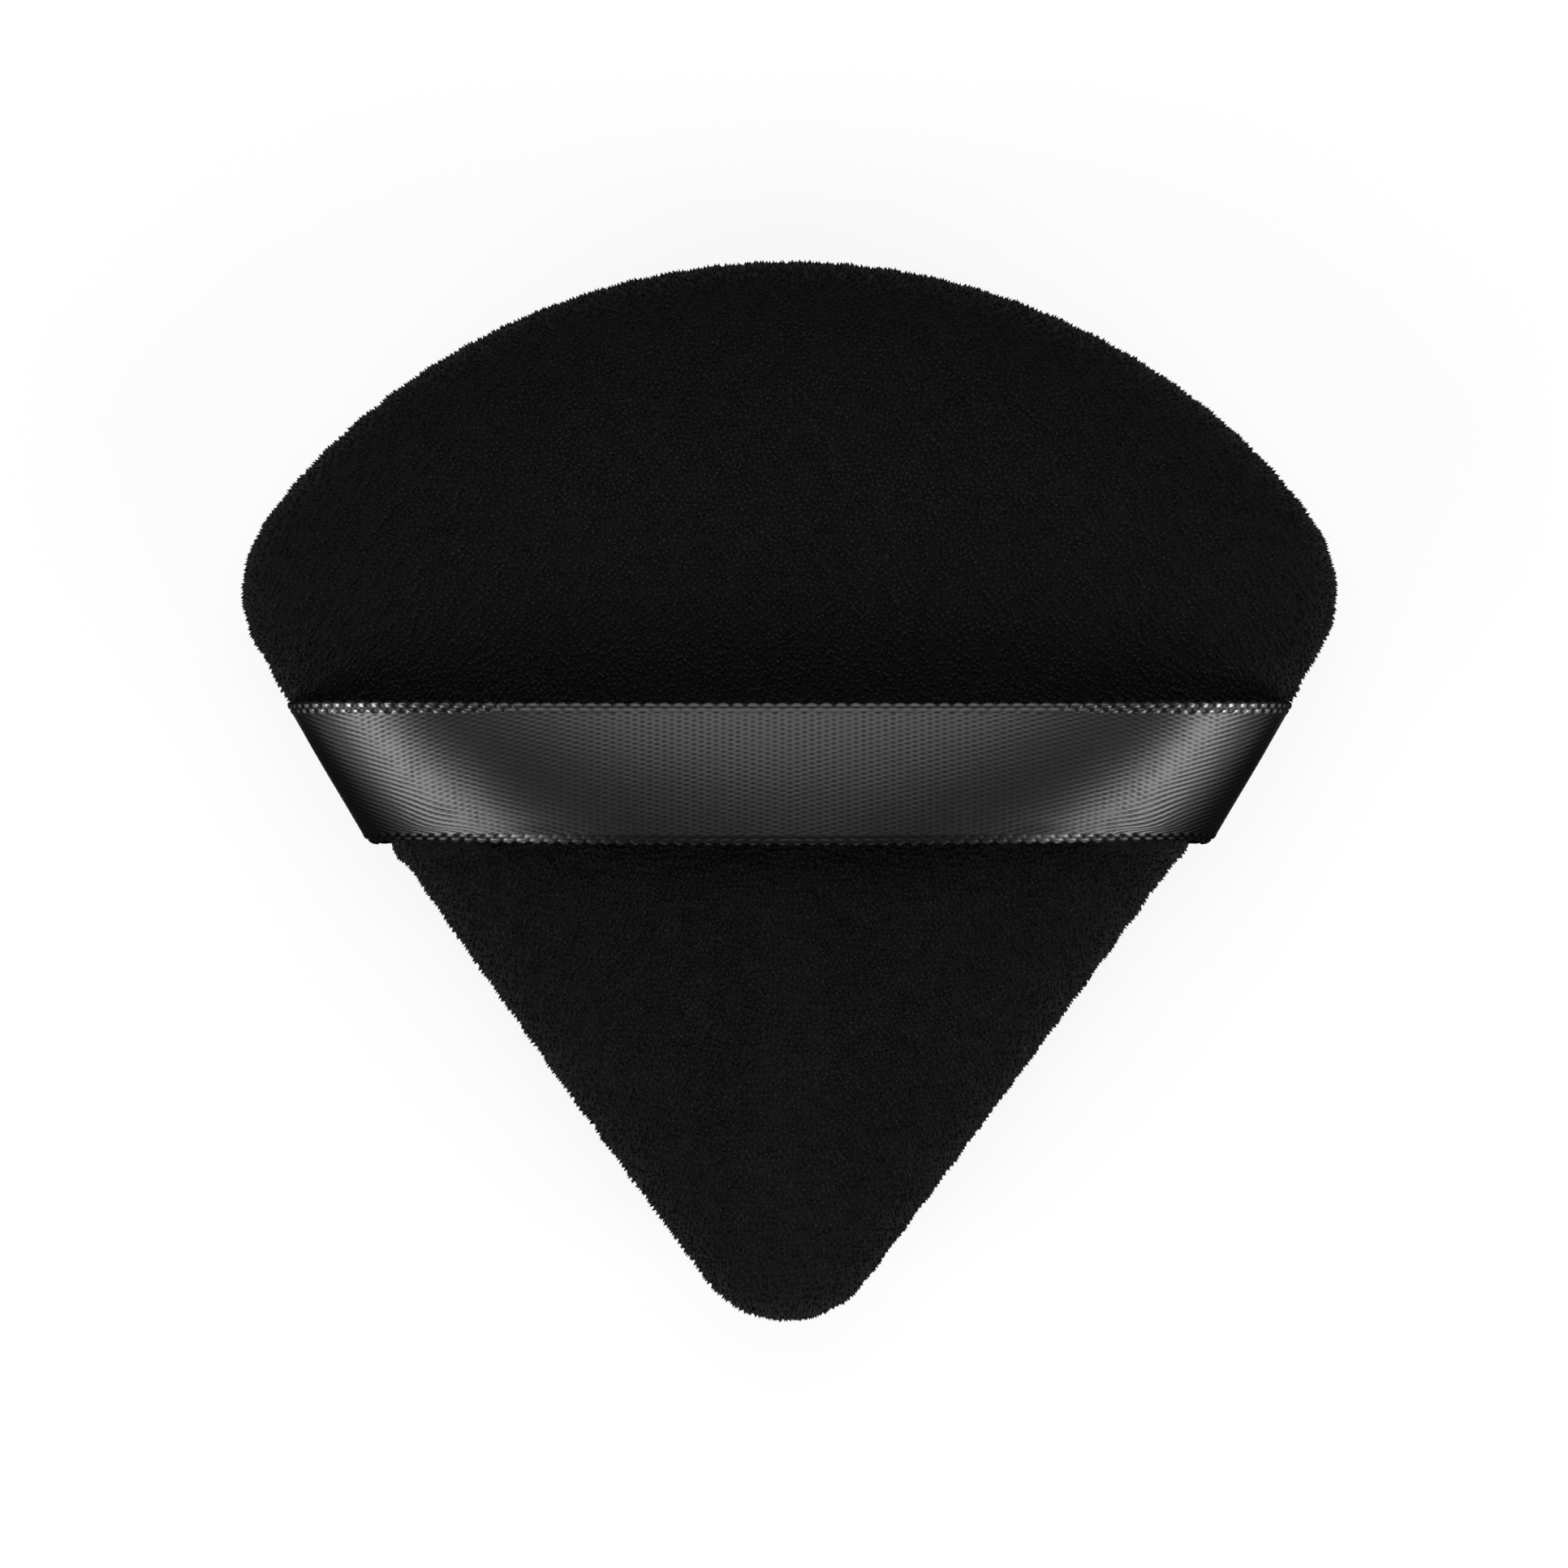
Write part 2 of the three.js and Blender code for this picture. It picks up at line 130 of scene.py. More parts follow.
def mesh_piece(name: str, points: np.ndarray, faces: list[np.ndarray]) -> bpy.types.Object:
    """Makes a smooth object of points and faces.

    Args:
        name: The piece's name.
        points: Its vertices in millimetres, as rows.
        faces: Arrays of vertex numbers, each with one face in a row.

    Returns:
        The object.
    """
    mesh = bpy.data.meshes.new(name)
    corners = np.concatenate([f.ravel() for f in faces]).astype(np.int32)
    sizes = np.concatenate([np.full(len(f), f.shape[1]) for f in faces]).astype(np.int32)
    mesh.vertices.add(len(points))
    mesh.vertices.foreach_set("co", (points * MM).astype(np.float32).ravel())
    mesh.loops.add(len(corners))
    mesh.loops.foreach_set("vertex_index", corners)
    mesh.polygons.add(len(sizes))
    mesh.polygons.foreach_set("loop_start", (np.cumsum(sizes) - sizes).astype(np.int32))
    mesh.update(calc_edges=True)
    mesh.validate()
    mesh.shade_smooth()
    piece = bpy.data.objects.new(name, mesh)
    bpy.context.scene.collection.objects.link(piece)
    return piece


def paint_number(piece: bpy.types.Object, name: str, values: np.ndarray) -> None:
    """Stores a number on each of a piece's vertices, as a named attribute."""
    attribute = piece.data.attributes.new(name, "FLOAT", "POINT")
    attribute.data.foreach_set("value", values.astype(np.float32))


@dataclass(frozen=True)
class Wire:
    """A number in a material that Python's own operators work on."""

    bench: NodeBench
    socket: bpy.types.NodeSocket

    def __add__(self, other: Wire | float) -> Wire:
        """Adds."""
        return self.bench.math("ADD", self, other)

    def __sub__(self, other: Wire | float) -> Wire:
        """Subtracts."""
        return self.bench.math("SUBTRACT", self, other)

    def __rsub__(self, other: float) -> Wire:
        """Subtracts from a number."""
        return self.bench.math("SUBTRACT", other, self)

    def __mul__(self, other: Wire | float) -> Wire:
        """Multiplies."""
        return self.bench.math("MULTIPLY", self, other)

    __radd__, __rmul__ = __add__, __mul__


class NodeBench:
    """The node tree of a material or of the surround."""

    def __init__(self, owner: bpy.types.Material | bpy.types.World) -> None:
        """Empties a node tree.

        Args:
            owner: What it belongs to.
        """
        owner.use_nodes = True
        self.owner, self.tree = owner, owner.node_tree
        self.tree.nodes.clear()

    def make(
        self, kind: str, settings: dict | None = None, sockets: dict | None = None
    ) -> bpy.types.Node:
        """Adds a node.

        Args:
            kind: The node's type.
            settings: Its settings, which are set first.
            sockets: Values or links for its inputs, by name or number.

        Returns:
            The node.
        """
        node = self.tree.nodes.new(kind)
        for key, value in (settings or {}).items():
            setattr(node, key, value)
        for key, value in (sockets or {}).items():
            if isinstance(value, Wire):
                value = value.socket
            if isinstance(value, bpy.types.NodeSocket):
                self.tree.links.new(value, node.inputs[key])
            else:
                node.inputs[key].default_value = value
        return node

    def wire(self, output: str | int, *node: object) -> Wire:
        """Adds a node and takes one of its outputs as a number."""
        return Wire(self, self.make(*node).outputs[output])

    def math(self, operation: str, left: Wire | float, right: Wire | float) -> Wire:
        """Adds a Math node."""
        return self.wire(0, "ShaderNodeMath", {"operation": operation}, {0: left, 1: right})

    def number(self, name: str) -> Wire:
        """Reads a number that is stored on the piece's vertices."""
        return self.wire("Fac", "ShaderNodeAttribute", {"attribute_name": name})

    def place(self) -> bpy.types.NodeSocket:
        """Reads the place on the piece."""
        return self.make("ShaderNodeTexCoord").outputs["Object"]

    def grain(self, where: bpy.types.NodeSocket, pitch: float, detail: float = 2.0) -> Wire:
        """Adds noise from 0 to 1, in patches of one pitch with finer layers of detail in them."""
        sockets = {"Vector": where, "Scale": 1.0 / pitch, "Detail": detail}
        return self.wire("Fac", "ShaderNodeTexNoise", None, sockets)

    def bump(self, strength: float, distance: float, height: Wire) -> bpy.types.NodeSocket:
        """Turns a height into a bumped direction."""
        sockets = {"Strength": strength, "Distance": distance, "Height": height}
        return self.make("ShaderNodeBump", None, sockets).outputs[0]

    def blend(self, share: Wire, low: tuple, high: tuple) -> bpy.types.NodeSocket:
        """Mixes two colours.

        Args:
            share: The share of the second, from 0 to 1.
            low: The first colour.
            high: The second colour.

        Returns:
            The mixed colour.
        """
        sockets = {"Factor": share, 6: (*low, 1.0), 7: (*high, 1.0)}
        settings = {"data_type": "RGBA", "clamp_factor": True}
        return self.make("ShaderNodeMix", settings, sockets).outputs[2]

    def ease(self, value: Wire | bpy.types.NodeSocket, start: tuple, stop: tuple) -> Wire:
        """Leads a number smoothly from one level to another.

        Args:
            value: The number.
            start: What it is at the start, and the level there.
            stop: What it is at the stop, and the level there.

        Returns:
            The level.
        """
        ends = {"From Min": start[0], "To Min": start[1], "From Max": stop[0], "To Max": stop[1]}
        settings = {"interpolation_type": "SMOOTHSTEP"}
        return self.wire(0, "ShaderNodeMapRange", settings, {"Value": value, **ends})

    def seen(self) -> Wire:
        """Sorts the rays.

        Returns:
            1 for rays from the camera, a glossy face or clear matter, 0 for those that only light.
        """
        rays = self.make("ShaderNodeLightPath").outputs
        kinds = ("Camera", "Glossy", "Transmission")
        camera, glossy, clear = (Wire(self, rays[f"Is {kind} Ray"]) for kind in kinds)
        return camera + glossy + clear

    def mixed(self, output: str, share: Wire, *shaders: bpy.types.Node) -> None:
        """Ends the tree with a mix of two shaders.

        Args:
            output: The type of its last node.
            share: The share of the second shader, from 0 to 1.
            *shaders: The two.
        """
        surfaces = {place: shader.outputs[0] for place, shader in enumerate(shaders, 1)}
        mix = self.make("ShaderNodeMixShader", None, {0: share, **surfaces})
        self.make(output, None, {"Surface": mix.outputs[0]})


class Finish:
    """A look that materials are made from."""

    def material(self, name: str) -> bpy.types.Material:
        """Makes a material of this look.

        Args:
            name: The material's name.

        Returns:
            The material.
        """
        bench = NodeBench(bpy.data.materials.new(name))
        shader = bench.make("ShaderNodeBsdfPrincipled", None, self.dress(bench))
        bench.make("ShaderNodeOutputMaterial", None, {"Surface": shader.outputs[0]})
        return bench.owner

    def dress(self, bench: NodeBench) -> dict:
        """Gives the values and links of the surface shader's inputs."""
        raise NotImplementedError


@dataclass(frozen=True)
class VelourFinish(Finish):
    """Black pile cloth: mottled tufts, with painted shade on the ground between them and at their
    feet.
    """

    deep: tuple = (0.0042, 0.0042, 0.0043)
    lit: tuple = (0.0117, 0.0117, 0.0119)
    patch_pitch: float = 6.0 * MM
    clump_pitch: float = 0.45 * MM
    fibre_pitch: float = 0.06 * MM
    fibre_depth: float = 0.05 * MM
    sheen: float = 0.06

    def dress(self, bench: NodeBench) -> dict:
        """Lays out the mottled pile.

        Args:
            bench: The material's node tree.

        Returns:
            The values and links of the surface shader's inputs.
        """
        where = bench.place()
        patches = bench.grain(where, self.patch_pitch)
        clumps = bench.grain(where, self.clump_pitch)
        fibres = bench.grain(where, self.fibre_pitch)
        # The nap number holds the tufts' random tone and the painted shade on the ground and at the
        # tufts' feet.
        share = bench.number("nap") * (0.4 + patches * 0.5) * (0.75 + clumps * 0.45)
        return {
            "Base Color": bench.blend(share, self.deep, self.lit),
            "Roughness": 0.8 + fibres * 0.2,
            "Specular IOR Level": self.sheen,
            "Sheen Weight": self.sheen,
            "Sheen Roughness": 0.4,
            "Normal": bench.bump(0.5, self.fibre_depth, fibres),
        }


@dataclass(frozen=True)
class SatinFinish(Finish):
    """Black satin: glossy floats, with painted shade darkening the gaps between them."""

    gap: tuple = (0.004, 0.004, 0.0041)
    float_colour: tuple = (0.19, 0.19, 0.194)
    fibril_pitch: float = 0.004
    fibril_stretch: float = 0.06
    fibril_depth: float = 0.012 * MM

    def dress(self, bench: NodeBench) -> dict:
        """Lays out the glossy floats and the fibrils along them.

        Args:
            bench: The material's node tree.

        Returns:
            The values and links of the surface shader's inputs.
        """
        where = bench.make("ShaderNodeUVMap", {"uv_map": "ribbon"}).outputs[0]
        sockets = {"Vector": where, "Scale": (self.fibril_stretch, 1.0, 1.0)}
        along = bench.make("ShaderNodeMapping", None, sockets).outputs[0]
        fibrils = bench.grain(along, self.fibril_pitch, 3.0)
        # The tone holds the ribbon's painted highlights and painted shade.
        tone = bench.number("tone")
        return {
            "Base Color": bench.blend(tone * (0.7 + fibrils * 0.6), self.gap, self.float_colour),
            "Metallic": 0.97,
            "Roughness": 0.34 - tone * 0.1 + fibrils * 0.04,
            "Specular IOR Level": 0.3,
            "Specular Tint": (0.0, 0.0, 0.0, 1.0),
            "Normal": bench.bump(0.15, self.fibril_depth, fibrils),
        }


@dataclass(frozen=True)
class SpongeFinish(Finish):
    """Pale open-celled sponge, with painted shade in the low places between its cells."""

    pore: tuple = (0.42, 0.39, 0.33)
    wall: tuple = (0.80, 0.77, 0.69)
    pore_pitch: float = 0.5 * MM
    pore_depth: float = 0.2 * MM

    def dress(self, bench: NodeBench) -> dict:
        """Lays out the open cells.

        Args:
            bench: The material's node tree.

        Returns:
            The values and links of the surface shader's inputs.
        """
        where = bench.place()
        sockets = {"Vector": where, "Scale": 1.0 / self.pore_pitch}
        depth = bench.wire("Distance", "ShaderNodeTexVoronoi", None, sockets)
        # Painted shade: the pore colour falls where the bump is low, with random tone over it.
        shade = depth * 0.9 + bench.grain(where, 8.0 * self.pore_pitch) * 0.3
        return {
            "Base Color": bench.blend(shade, self.wall, self.pore),
            "Roughness": 0.85 + depth * 0.1,
            "Normal": bench.bump(0.8, self.pore_depth, 1.0 - depth),
        }


@dataclass(frozen=True)
class ThreadFinish(Finish):
    """Black twisted sewing thread, with painted shade in the grooves of the twist."""

    dark: tuple = (0.004, 0.004, 0.004)
    light: tuple = (0.03, 0.03, 0.031)
    ply_pitch: float = 0.25 * MM
    fuzz_pitch: float = 0.08 * MM
    ply_depth: float = 0.05 * MM

    def dress(self, bench: NodeBench) -> dict:
        """Lays out the twisted plies and their fuzz.

        Args:
            bench: The material's node tree.

        Returns:
            The values and links of the surface shader's inputs.
        """
        where = bench.place()
        sockets = {"Vector": where, "Scale": 0.3 / self.ply_pitch, "Distortion": 1.0}
        turn = bench.wire("Fac", "ShaderNodeTexWave", {"bands_direction": "DIAGONAL"}, sockets)
        fuzz = bench.grain(where, self.fuzz_pitch)
        return {
            # Painted shade: the grooves between the plies, which the bump lowers, are painted
            # darker.
            "Base Color": bench.blend(turn * 0.7 + fuzz * 0.3, self.dark, self.light),
            "Roughness": 0.75 - turn * 0.15,
            "Normal": bench.bump(0.7, self.ply_depth, turn + fuzz * 0.4),
        }


@dataclass(frozen=True)
class FanOutline:
    """The closed line of the side seam, in millimetres, counter-clockwise from the tip."""

    corner_centre: tuple = (29.43, 13.94)
    corner_radius: float = 8.07
    fan_centre_ahead: float = -9.35
    fan_radius: float = 45.6
    tip_centre_ahead: float = -29.57
    tip_radius: float = 6.68
    side_angle: float = math.radians(-35.59)
    fan_start: float = math.radians(38.36)
    side_bow: float = 0.3

    def lengths(self) -> np.ndarray:
        """Measures the right half of the outline.

        Returns:
            The lengths of its tip arc, straight side, corner arc and fan arc.
        """
        over, up = self.corner_centre[0], self.corner_centre[1] - self.tip_centre_ahead
        return np.array(
            [
                self.tip_radius * (self.side_angle + math.pi / 2),
                -over * math.sin(self.side_angle) + up * math.cos(self.side_angle),
                self.corner_radius * (self.fan_start - self.side_angle),
                self.fan_radius * (math.pi / 2 - self.fan_start),
            ]
        )

    def around(self) -> float:
        """The whole length of the outline."""
        return 2.0 * float(self.lengths().sum())

    def walk(self, travel: np.ndarray) -> tuple[np.ndarray, np.ndarray]:
        """Places on the outline.

        Args:
            travel: How far each place is from the middle of the tip, counter-clockwise.

        Returns:
            The places, and the outward directions there, as rows.
        """
        mirrored = travel > self.around() / 2.0
        run = np.where(mirrored, self.around() - travel, travel)
        ends = np.concatenate([[0.0], np.cumsum(self.lengths())])
        tip, side, corner, fan = (run - start for start in ends[:4])
        spans = [run < end for end in ends[1:4]]
        at_tip = tip / self.tip_radius - math.pi / 2
        at_side = np.full(run.shape, self.side_angle)
        at_corner = self.side_angle + corner / self.corner_radius
        at_fan = self.fan_start + fan / self.fan_radius
        angles = np.select(spans, [at_tip, at_side, at_corner], at_fan)
        out = np.stack([np.cos(angles), np.sin(angles)], -1)
        share = np.clip(side / self.lengths()[1], 0.0, 1.0)[:, None]
        start = np.array([0.0, self.tip_centre_ahead]) + self.tip_radius * out
        stop = np.array(self.corner_centre) + self.corner_radius * out
        on_side = start + (stop - start) * share + out * self.side_bow * np.sin(math.pi * share)
        on_fan = np.array([0.0, self.fan_centre_ahead]) + self.fan_radius * out
        points = np.select([span[:, None] for span in spans], [start, on_side, stop], on_fan)
        flip = np.where(mirrored, -1.0, 1.0)
        points[:, 0] *= flip
        out[:, 0] *= flip
        return points, out

    def half_width(self, ahead: np.ndarray) -> np.ndarray:
        """Half the width between the straight sides, at places along the puff."""
        reach = self.tip_radius - (ahead - self.tip_centre_ahead) * math.sin(self.side_angle)
        return reach / math.cos(self.side_angle)


@dataclass(frozen=True)
class Crown:
    """The pillow form that both panels and the sponge share, in millimetres."""

    seam_height: float = 6.75
    height: float = 7.25
    fullness: float = 3.2
    peak_ahead: float = 4.35
    typical_reach: float = 33.0

    def rows(self, height: float, lowest: float, spacing: float) -> list[tuple[float, float]]:
        """Evenly spaced steps down the crown.

        Args:
            height: The crown's height over the seam.
            lowest: The rise over the seam at which the rows end.
            spacing: How far apart they are.

        Returns:
            Pairs of the share of the way to the rim and the rise over the seam.
        """
        angles = np.linspace(0.0, math.pi / 2, 4000)
        shares = np.sin(angles) ** (2.0 / self.fullness)
        rises = height * np.cos(angles) ** (2.0 / self.fullness)
        kept = rises >= lowest
        shares, rises = shares[kept], rises[kept]
        steps = np.hypot(np.diff(shares) * self.typical_reach, np.diff(rises))
        travel = np.concatenate([[0.0], np.cumsum(steps)])
        stops = np.linspace(0.0, travel[-1], max(4, round(travel[-1] / spacing)) + 1)[1:]
        return list(zip(np.interp(stops, travel, shares), np.interp(stops, travel, rises)))


@dataclass
class Swelling:
    """A cloth simulation of the filled cover, which gives it its fullness."""

    outline: FanOutline
    crown: Crown
    enlarged: float = 10.0
    places_round: int = 160
    row_spacing: float = 2.0
    lowest_rise: float = 0.2
    voxel: float = 1.25
    stretch: float = 12.0
    pressure: float = 4.0
    frames: int = 20
    slack: float = -0.035
    held_rise: float = 0.7
    neighbours: int = 4
    moved: np.ndarray | None = None
    tree: KDTree | None = None

    def pillow(self) -> bpy.types.Object:
        """Makes the closed pillow that is simulated, enlarged to suit the solver's settings.

        Returns:
            The pillow.
        """
        crown, count = self.crown, self.places_round
        places, _ = self.outline.walk(np.arange(count) * self.outline.around() / count)
        peak, seam = np.array([0.0, crown.peak_ahead]), np.full((count, 1), crown.seam_height)
        upper = crown.rows(crown.height, self.lowest_rise, self.row_spacing)
        levels = upper + [(share, -rise) for share, rise in reversed(upper)]
        rings = [np.hstack([peak + (places - peak) * share, seam + rise]) for share, rise in levels]
        ends = [[*peak, crown.seam_height + rise] for rise in (crown.height, -crown.height)]
        points = np.concatenate([*rings, ends]) * self.enlarged
        return mesh_piece("pillow_rehearsal", points, ring_faces(len(levels), count))

    def settle(self) -> None:
        """Runs the simulation and keeps how far each place on the pillow moved."""
        pillow = self.pillow()
        bpy.context.view_layer.objects.active = pillow
        pillow.select_set(True)
        pillow.data.remesh_voxel_size = self.voxel * self.enlarged * MM
        bpy.ops.object.voxel_remesh()
        start = self.places(pillow)
        seam = np.abs(start[:, 2] - self.crown.seam_height) < self.held_rise
        pillow.vertex_groups.new(name="sewn").add(np.flatnonzero(seam).tolist(), 1.0, "REPLACE")
        cloth = pillow.modifiers.new("swell", "CLOTH")
        settings = cloth.settings
        settings.quality, settings.mass = 4, 0.2
        settings.tension_stiffness = settings.compression_stiffness = self.stretch
        settings.shear_stiffness, settings.bending_stiffness = self.stretch / 2.0, 0.08
        settings.use_pressure, settings.uniform_pressure_force = True, self.pressure
        settings.shrink_min, settings.vertex_group_mass = self.slack, "sewn"
        settings.effector_weights.gravity = 0.0
        cloth.collision_settings.use_collision = False
        cloth.point_cache.frame_start, cloth.point_cache.frame_end = 1, self.frames
        for step in range(1, self.frames + 1):
            bpy.context.scene.frame_set(step)
        bpy.ops.object.modifier_apply(modifier=cloth.name)
        self.moved = self.places(pillow) - start
        bpy.context.scene.frame_set(1)
        bpy.data.objects.remove(pillow)
        self.tree = KDTree(len(start))
        for index, place in enumerate(start):
            self.tree.insert(place, index)
        self.tree.balance()
        LOG.info("cover swelled: %d places, furthest %.2f mm", len(start), np.abs(self.moved).max())

    def places(self, pillow: bpy.types.Object) -> np.ndarray:
        """Reads where the pillow's vertices are.

        Args:
            pillow: The pillow.

        Returns:
            Their places in the puff's own millimetres, as rows.
        """
        flat = np.zeros(len(pillow.data.vertices) * 3, np.float32)
        pillow.data.vertices.foreach_get("co", flat)
        return flat.reshape(-1, 3).astype(float) / (MM * self.enlarged)

    def shift(self, points: np.ndarray) -> np.ndarray:
        """How far the simulation moved the cover near some points.

        Args:
            points: Places in millimetres, as rows.

        Returns:
            The moves in millimetres, as rows, or zeros where nothing was simulated.
        """
        moves = np.zeros_like(points)
        if self.tree is None:
            return moves
        for row, point in enumerate(points):
            found = self.tree.find_n(point, self.neighbours)
            weights = np.array([1.0 / (distance + 0.05) for _, _, distance in found])
            moves[row] = weights @ self.moved[[index for _, index, _ in found]] / weights.sum()
        return moves


@dataclass
class VelourCover:
    """The two pile cloths that are sewn round the sponge, in millimetres."""

    outline: FanOutline
    crown: Crown
    swelling: Swelling
    finish: VelourFinish
    cloth_thickness: float = 1.4
    pile_height: float = 0.42
    fold_radius: float = 0.6
    half_gap: float = 0.04
    allowance: float = 4.0
    grid_spacing: float = 0.8
    lining_spacing: float = 2.4
    tuft_spacing: float = 0.35
    tuft_radius: float = 0.17
    tuft_sink: float = 0.05
    tuft_tone: float = 0.57
    # Painted shade: the ground between the tufts is toned darker than the tufts.
    shaded_ground_tone: float = 0.45
    pile_lie: tuple = (0.0, -0.35, 0.0)
    pile_sway: float = 0.7
    stitch_pitch: float = 3.0
    pucker_depth: float = 0.16
    pucker_reach: float = 1.6
    rim_loft: float = 0.3
    loft_reach: float = 3.5
    swell_out: float = 0.35
    swell_in: float = 0.25
    swell_under_strap: float = 0.05
    swell_ease: float = 1.6
    unevenness: float = 0.08
    tip_zone: tuple = (4.0, 25.0)
    tip_drift: float = 0.3
    tip_draw: float = 0.08
    strap_zone: tuple = (-3.6, 5.75)
    strap_bulge: float = 0.36
    bulge_zones: tuple = ((6.8, 1.3), (-3.8, 0.75))
    corner_zone: tuple = (17.5, 3.5)
    tail_zone: tuple = (-3.8, 6.3)
    tail_room: float = 0.32
    opening: tuple = (180.0, 212.0)
    stitch_inset: float = 1.65
    stitch_room: float = 0.75

    def __post_init__(self) -> None:
        """Sets out the places round the seam."""
        self.count = round(self.outline.around() / self.grid_spacing)
        self.travel = np.arange(self.count) * self.outline.around() / self.count
        self.edge, self.out = self.outline.walk(self.travel)

    def ring(self, inset: float, share: float, height: np.ndarray | float) -> np.ndarray:
        """A loop round the puff.

        Args:
            inset: How far the outline is moved in.
            share: How far out from the crown's peak it then lies, from 0 to 1.
            height: Its height, or the height at each place.

        Returns:
            The loop's points, as rows.
        """
        peak = np.array([0.0, self.crown.peak_ahead])
        flat = peak + (self.edge - self.out * inset - peak) * share
        return np.column_stack([flat, np.broadcast_to(height, (self.count,))])

    def under_strap(self, ahead: np.ndarray, fade: float = 0.65) -> np.ndarray:
        """How much a place along the puff belongs to the stretch that the ribbon crosses."""
        return plateau(*self.strap_zone, fade, ahead)

    def tail_lift(self) -> np.ndarray:
        """How far the fold stands off the seam where a ribbon tail lies in it."""
        beside = plateau(*self.tail_zone, 0.9, self.edge[:, 1]) * (np.abs(self.edge[:, 0]) > 20.0)
        return beside * (self.tail_room - self.half_gap)

    def channel(self, inset: float) -> np.ndarray:
        """How far the turned-in edge stands off the closing stitches, at an inset."""
        beside = float(abs(inset - self.stitch_inset) < 0.6)
        return plateau(*self.opening, 1.5, self.travel) * self.stitch_room * beside

    def outside(self, face: Face) -> np.ndarray:
        """The pile's outer surface, from the peak over the rim into the seam.

        Args:
            face: The panel.

        Returns:
            Points in an array of rows by places round the seam.
        """
        side, seam = face.value, self.crown.seam_height
        levels = self.crown.rows(self.crown.height, self.fold_radius, self.grid_spacing)
        rows = [self.ring(0.0, share, seam + side * rise) for share, rise in levels]
        for turn in np.linspace(0.0, math.pi / 2, 6)[1:]:
            inset = self.fold_radius * (1.0 - math.cos(turn))
            rise = self.half_gap + self.fold_radius * (1.0 - math.sin(turn))
            lifted = rise + self.tail_lift() * math.sin(turn)
            rows.append(self.ring(inset, 1.0, seam + side * lifted))
        return np.array(rows)

    def facing(self, rows: np.ndarray, face: Face) -> np.ndarray:
        """The outward directions of a panel's grid of points."""
        along = np.roll(rows, -1, axis=1) - np.roll(rows, 1, axis=1)
        return unit(face.value * np.cross(np.gradient(rows, axis=0), along))

    def relief(self, rows: np.ndarray, normals: np.ndarray) -> np.ndarray:
        """How far the filled cloth stands off the plain pillow form.

        Args:
            rows: The points of the plain form.
            normals: Its outward directions.

        Returns:
            The distance along the outward direction at each point.
        """
        ahead, aside = rows[..., 1], np.abs(rows[..., 0])
        away = np.abs(rows[..., 2] - self.crown.seam_height)
        moved = self.swelling.shift(rows.reshape(-1, 3)).reshape(rows.shape)
        swell = np.einsum("rkc,rkc->rk", moved, normals)
        swell = (swell - np.median(swell)) * smooth_step(0.4, 2.5, away)
        strap = self.under_strap(ahead, 3.0)
        outward = self.swell_out * (1.0 - strap) + self.swell_under_strap * strap
        swell = np.where(swell > 0.0, outward, self.swell_in) * np.tanh(swell / self.swell_ease)
        depth = self.pucker_depth * (0.75 + 0.5 * ripple(rows, 7.0, 3.0))
        stitches = 0.5 + 0.5 * wave(self.travel / self.stitch_pitch)
        pucker = depth * stitches * bell(0.0, self.pucker_reach, away)
        corner = bell(*self.corner_zone, ahead) * (aside > 25.0)
        upper, lower = (bell(*zone, ahead) for zone in self.bulge_zones)
        squeezed = self.strap_bulge * (upper + 1.1 * lower)
        loft = self.rim_loft * (1.0 - 0.75 * corner) + squeezed * (aside > 15.0)
        beyond = ahead + np.where(ahead > 0.0, 0.4, -0.35)
        loft *= (1.0 - self.under_strap(beyond)) * bell(0.0, self.loft_reach, away)
        drift = smooth_step(*self.tip_zone, -ahead) * smooth_step(0.1, 0.6, away)
        drift *= self.tip_drift * normals[..., 0] + self.tip_draw
        uneven = self.unevenness * ripple(rows, 11.0, 9.0) * smooth_step(0.5, 3.0, away)
        return swell - pucker + loft - drift + uneven

    def tufts(
        self, base: np.ndarray, tips: np.ndarray, normals: np.ndarray, seed: int
    ) -> tuple[np.ndarray, np.ndarray, np.ndarray]:
        """Sows the pile over a panel as small leaning tufts.

        Args:
            base: The ground that they stand on.
            tips: The surface that they reach.
            normals: The outward directions.
            seed: Starts the random draws.

        Returns:
            The tufts' vertices, their faces and their tone, with painted shade at each tuft's foot.
        """
        draws = np.random.default_rng(seed)
        steps = np.linalg.norm(np.diff(tips, axis=0), axis=-1).mean(axis=1)
        travel = np.concatenate([[0.0], np.cumsum(steps)])
        rows, places = [], []
        for stop in np.arange(0.0, travel[-1], self.tuft_spacing):
            row = float(np.interp(stop, travel, np.arange(len(travel))))
            loop = tips[min(int(round(row)), len(tips) - 1)]
            length = np.linalg.norm(loop - np.roll(loop, 1, axis=0), axis=-1).sum()
            many = max(6, int(length / self.tuft_spacing))
            sown = (np.arange(many) + draws.uniform(-0.4, 0.4, many)) * self.count / many
            places.append(sown % self.count)
            rows.append(np.clip(row + draws.uniform(-0.2, 0.2, many), 0.0, len(tips) - 1.001))
        row, place = np.concatenate(rows), np.concatenate(places)
        foot, tip, out = (self.between(grid, row, place) for grid in (base, tips, normals))
        out = unit(out)
        sway = np.stack([ripple(tip, 1.3, 20.0), ripple(tip, 1.3, 40.0), np.zeros(len(tip))], -1)
        lean = np.array(self.pile_lie) + self.pile_sway * sway + draws.normal(0.0, 0.13, tip.shape)
        lean -= out * np.einsum("nc,nc->n", lean, out)[:, None]
        height = np.linalg.norm(tip - foot, axis=-1) * draws.uniform(0.8, 1.1, len(tip))
        point = foot + (out + 0.8 * lean) * height[:, None]
        ahead = unit(np.cross(out, draws.normal(0.0, 1.0, out.shape)))
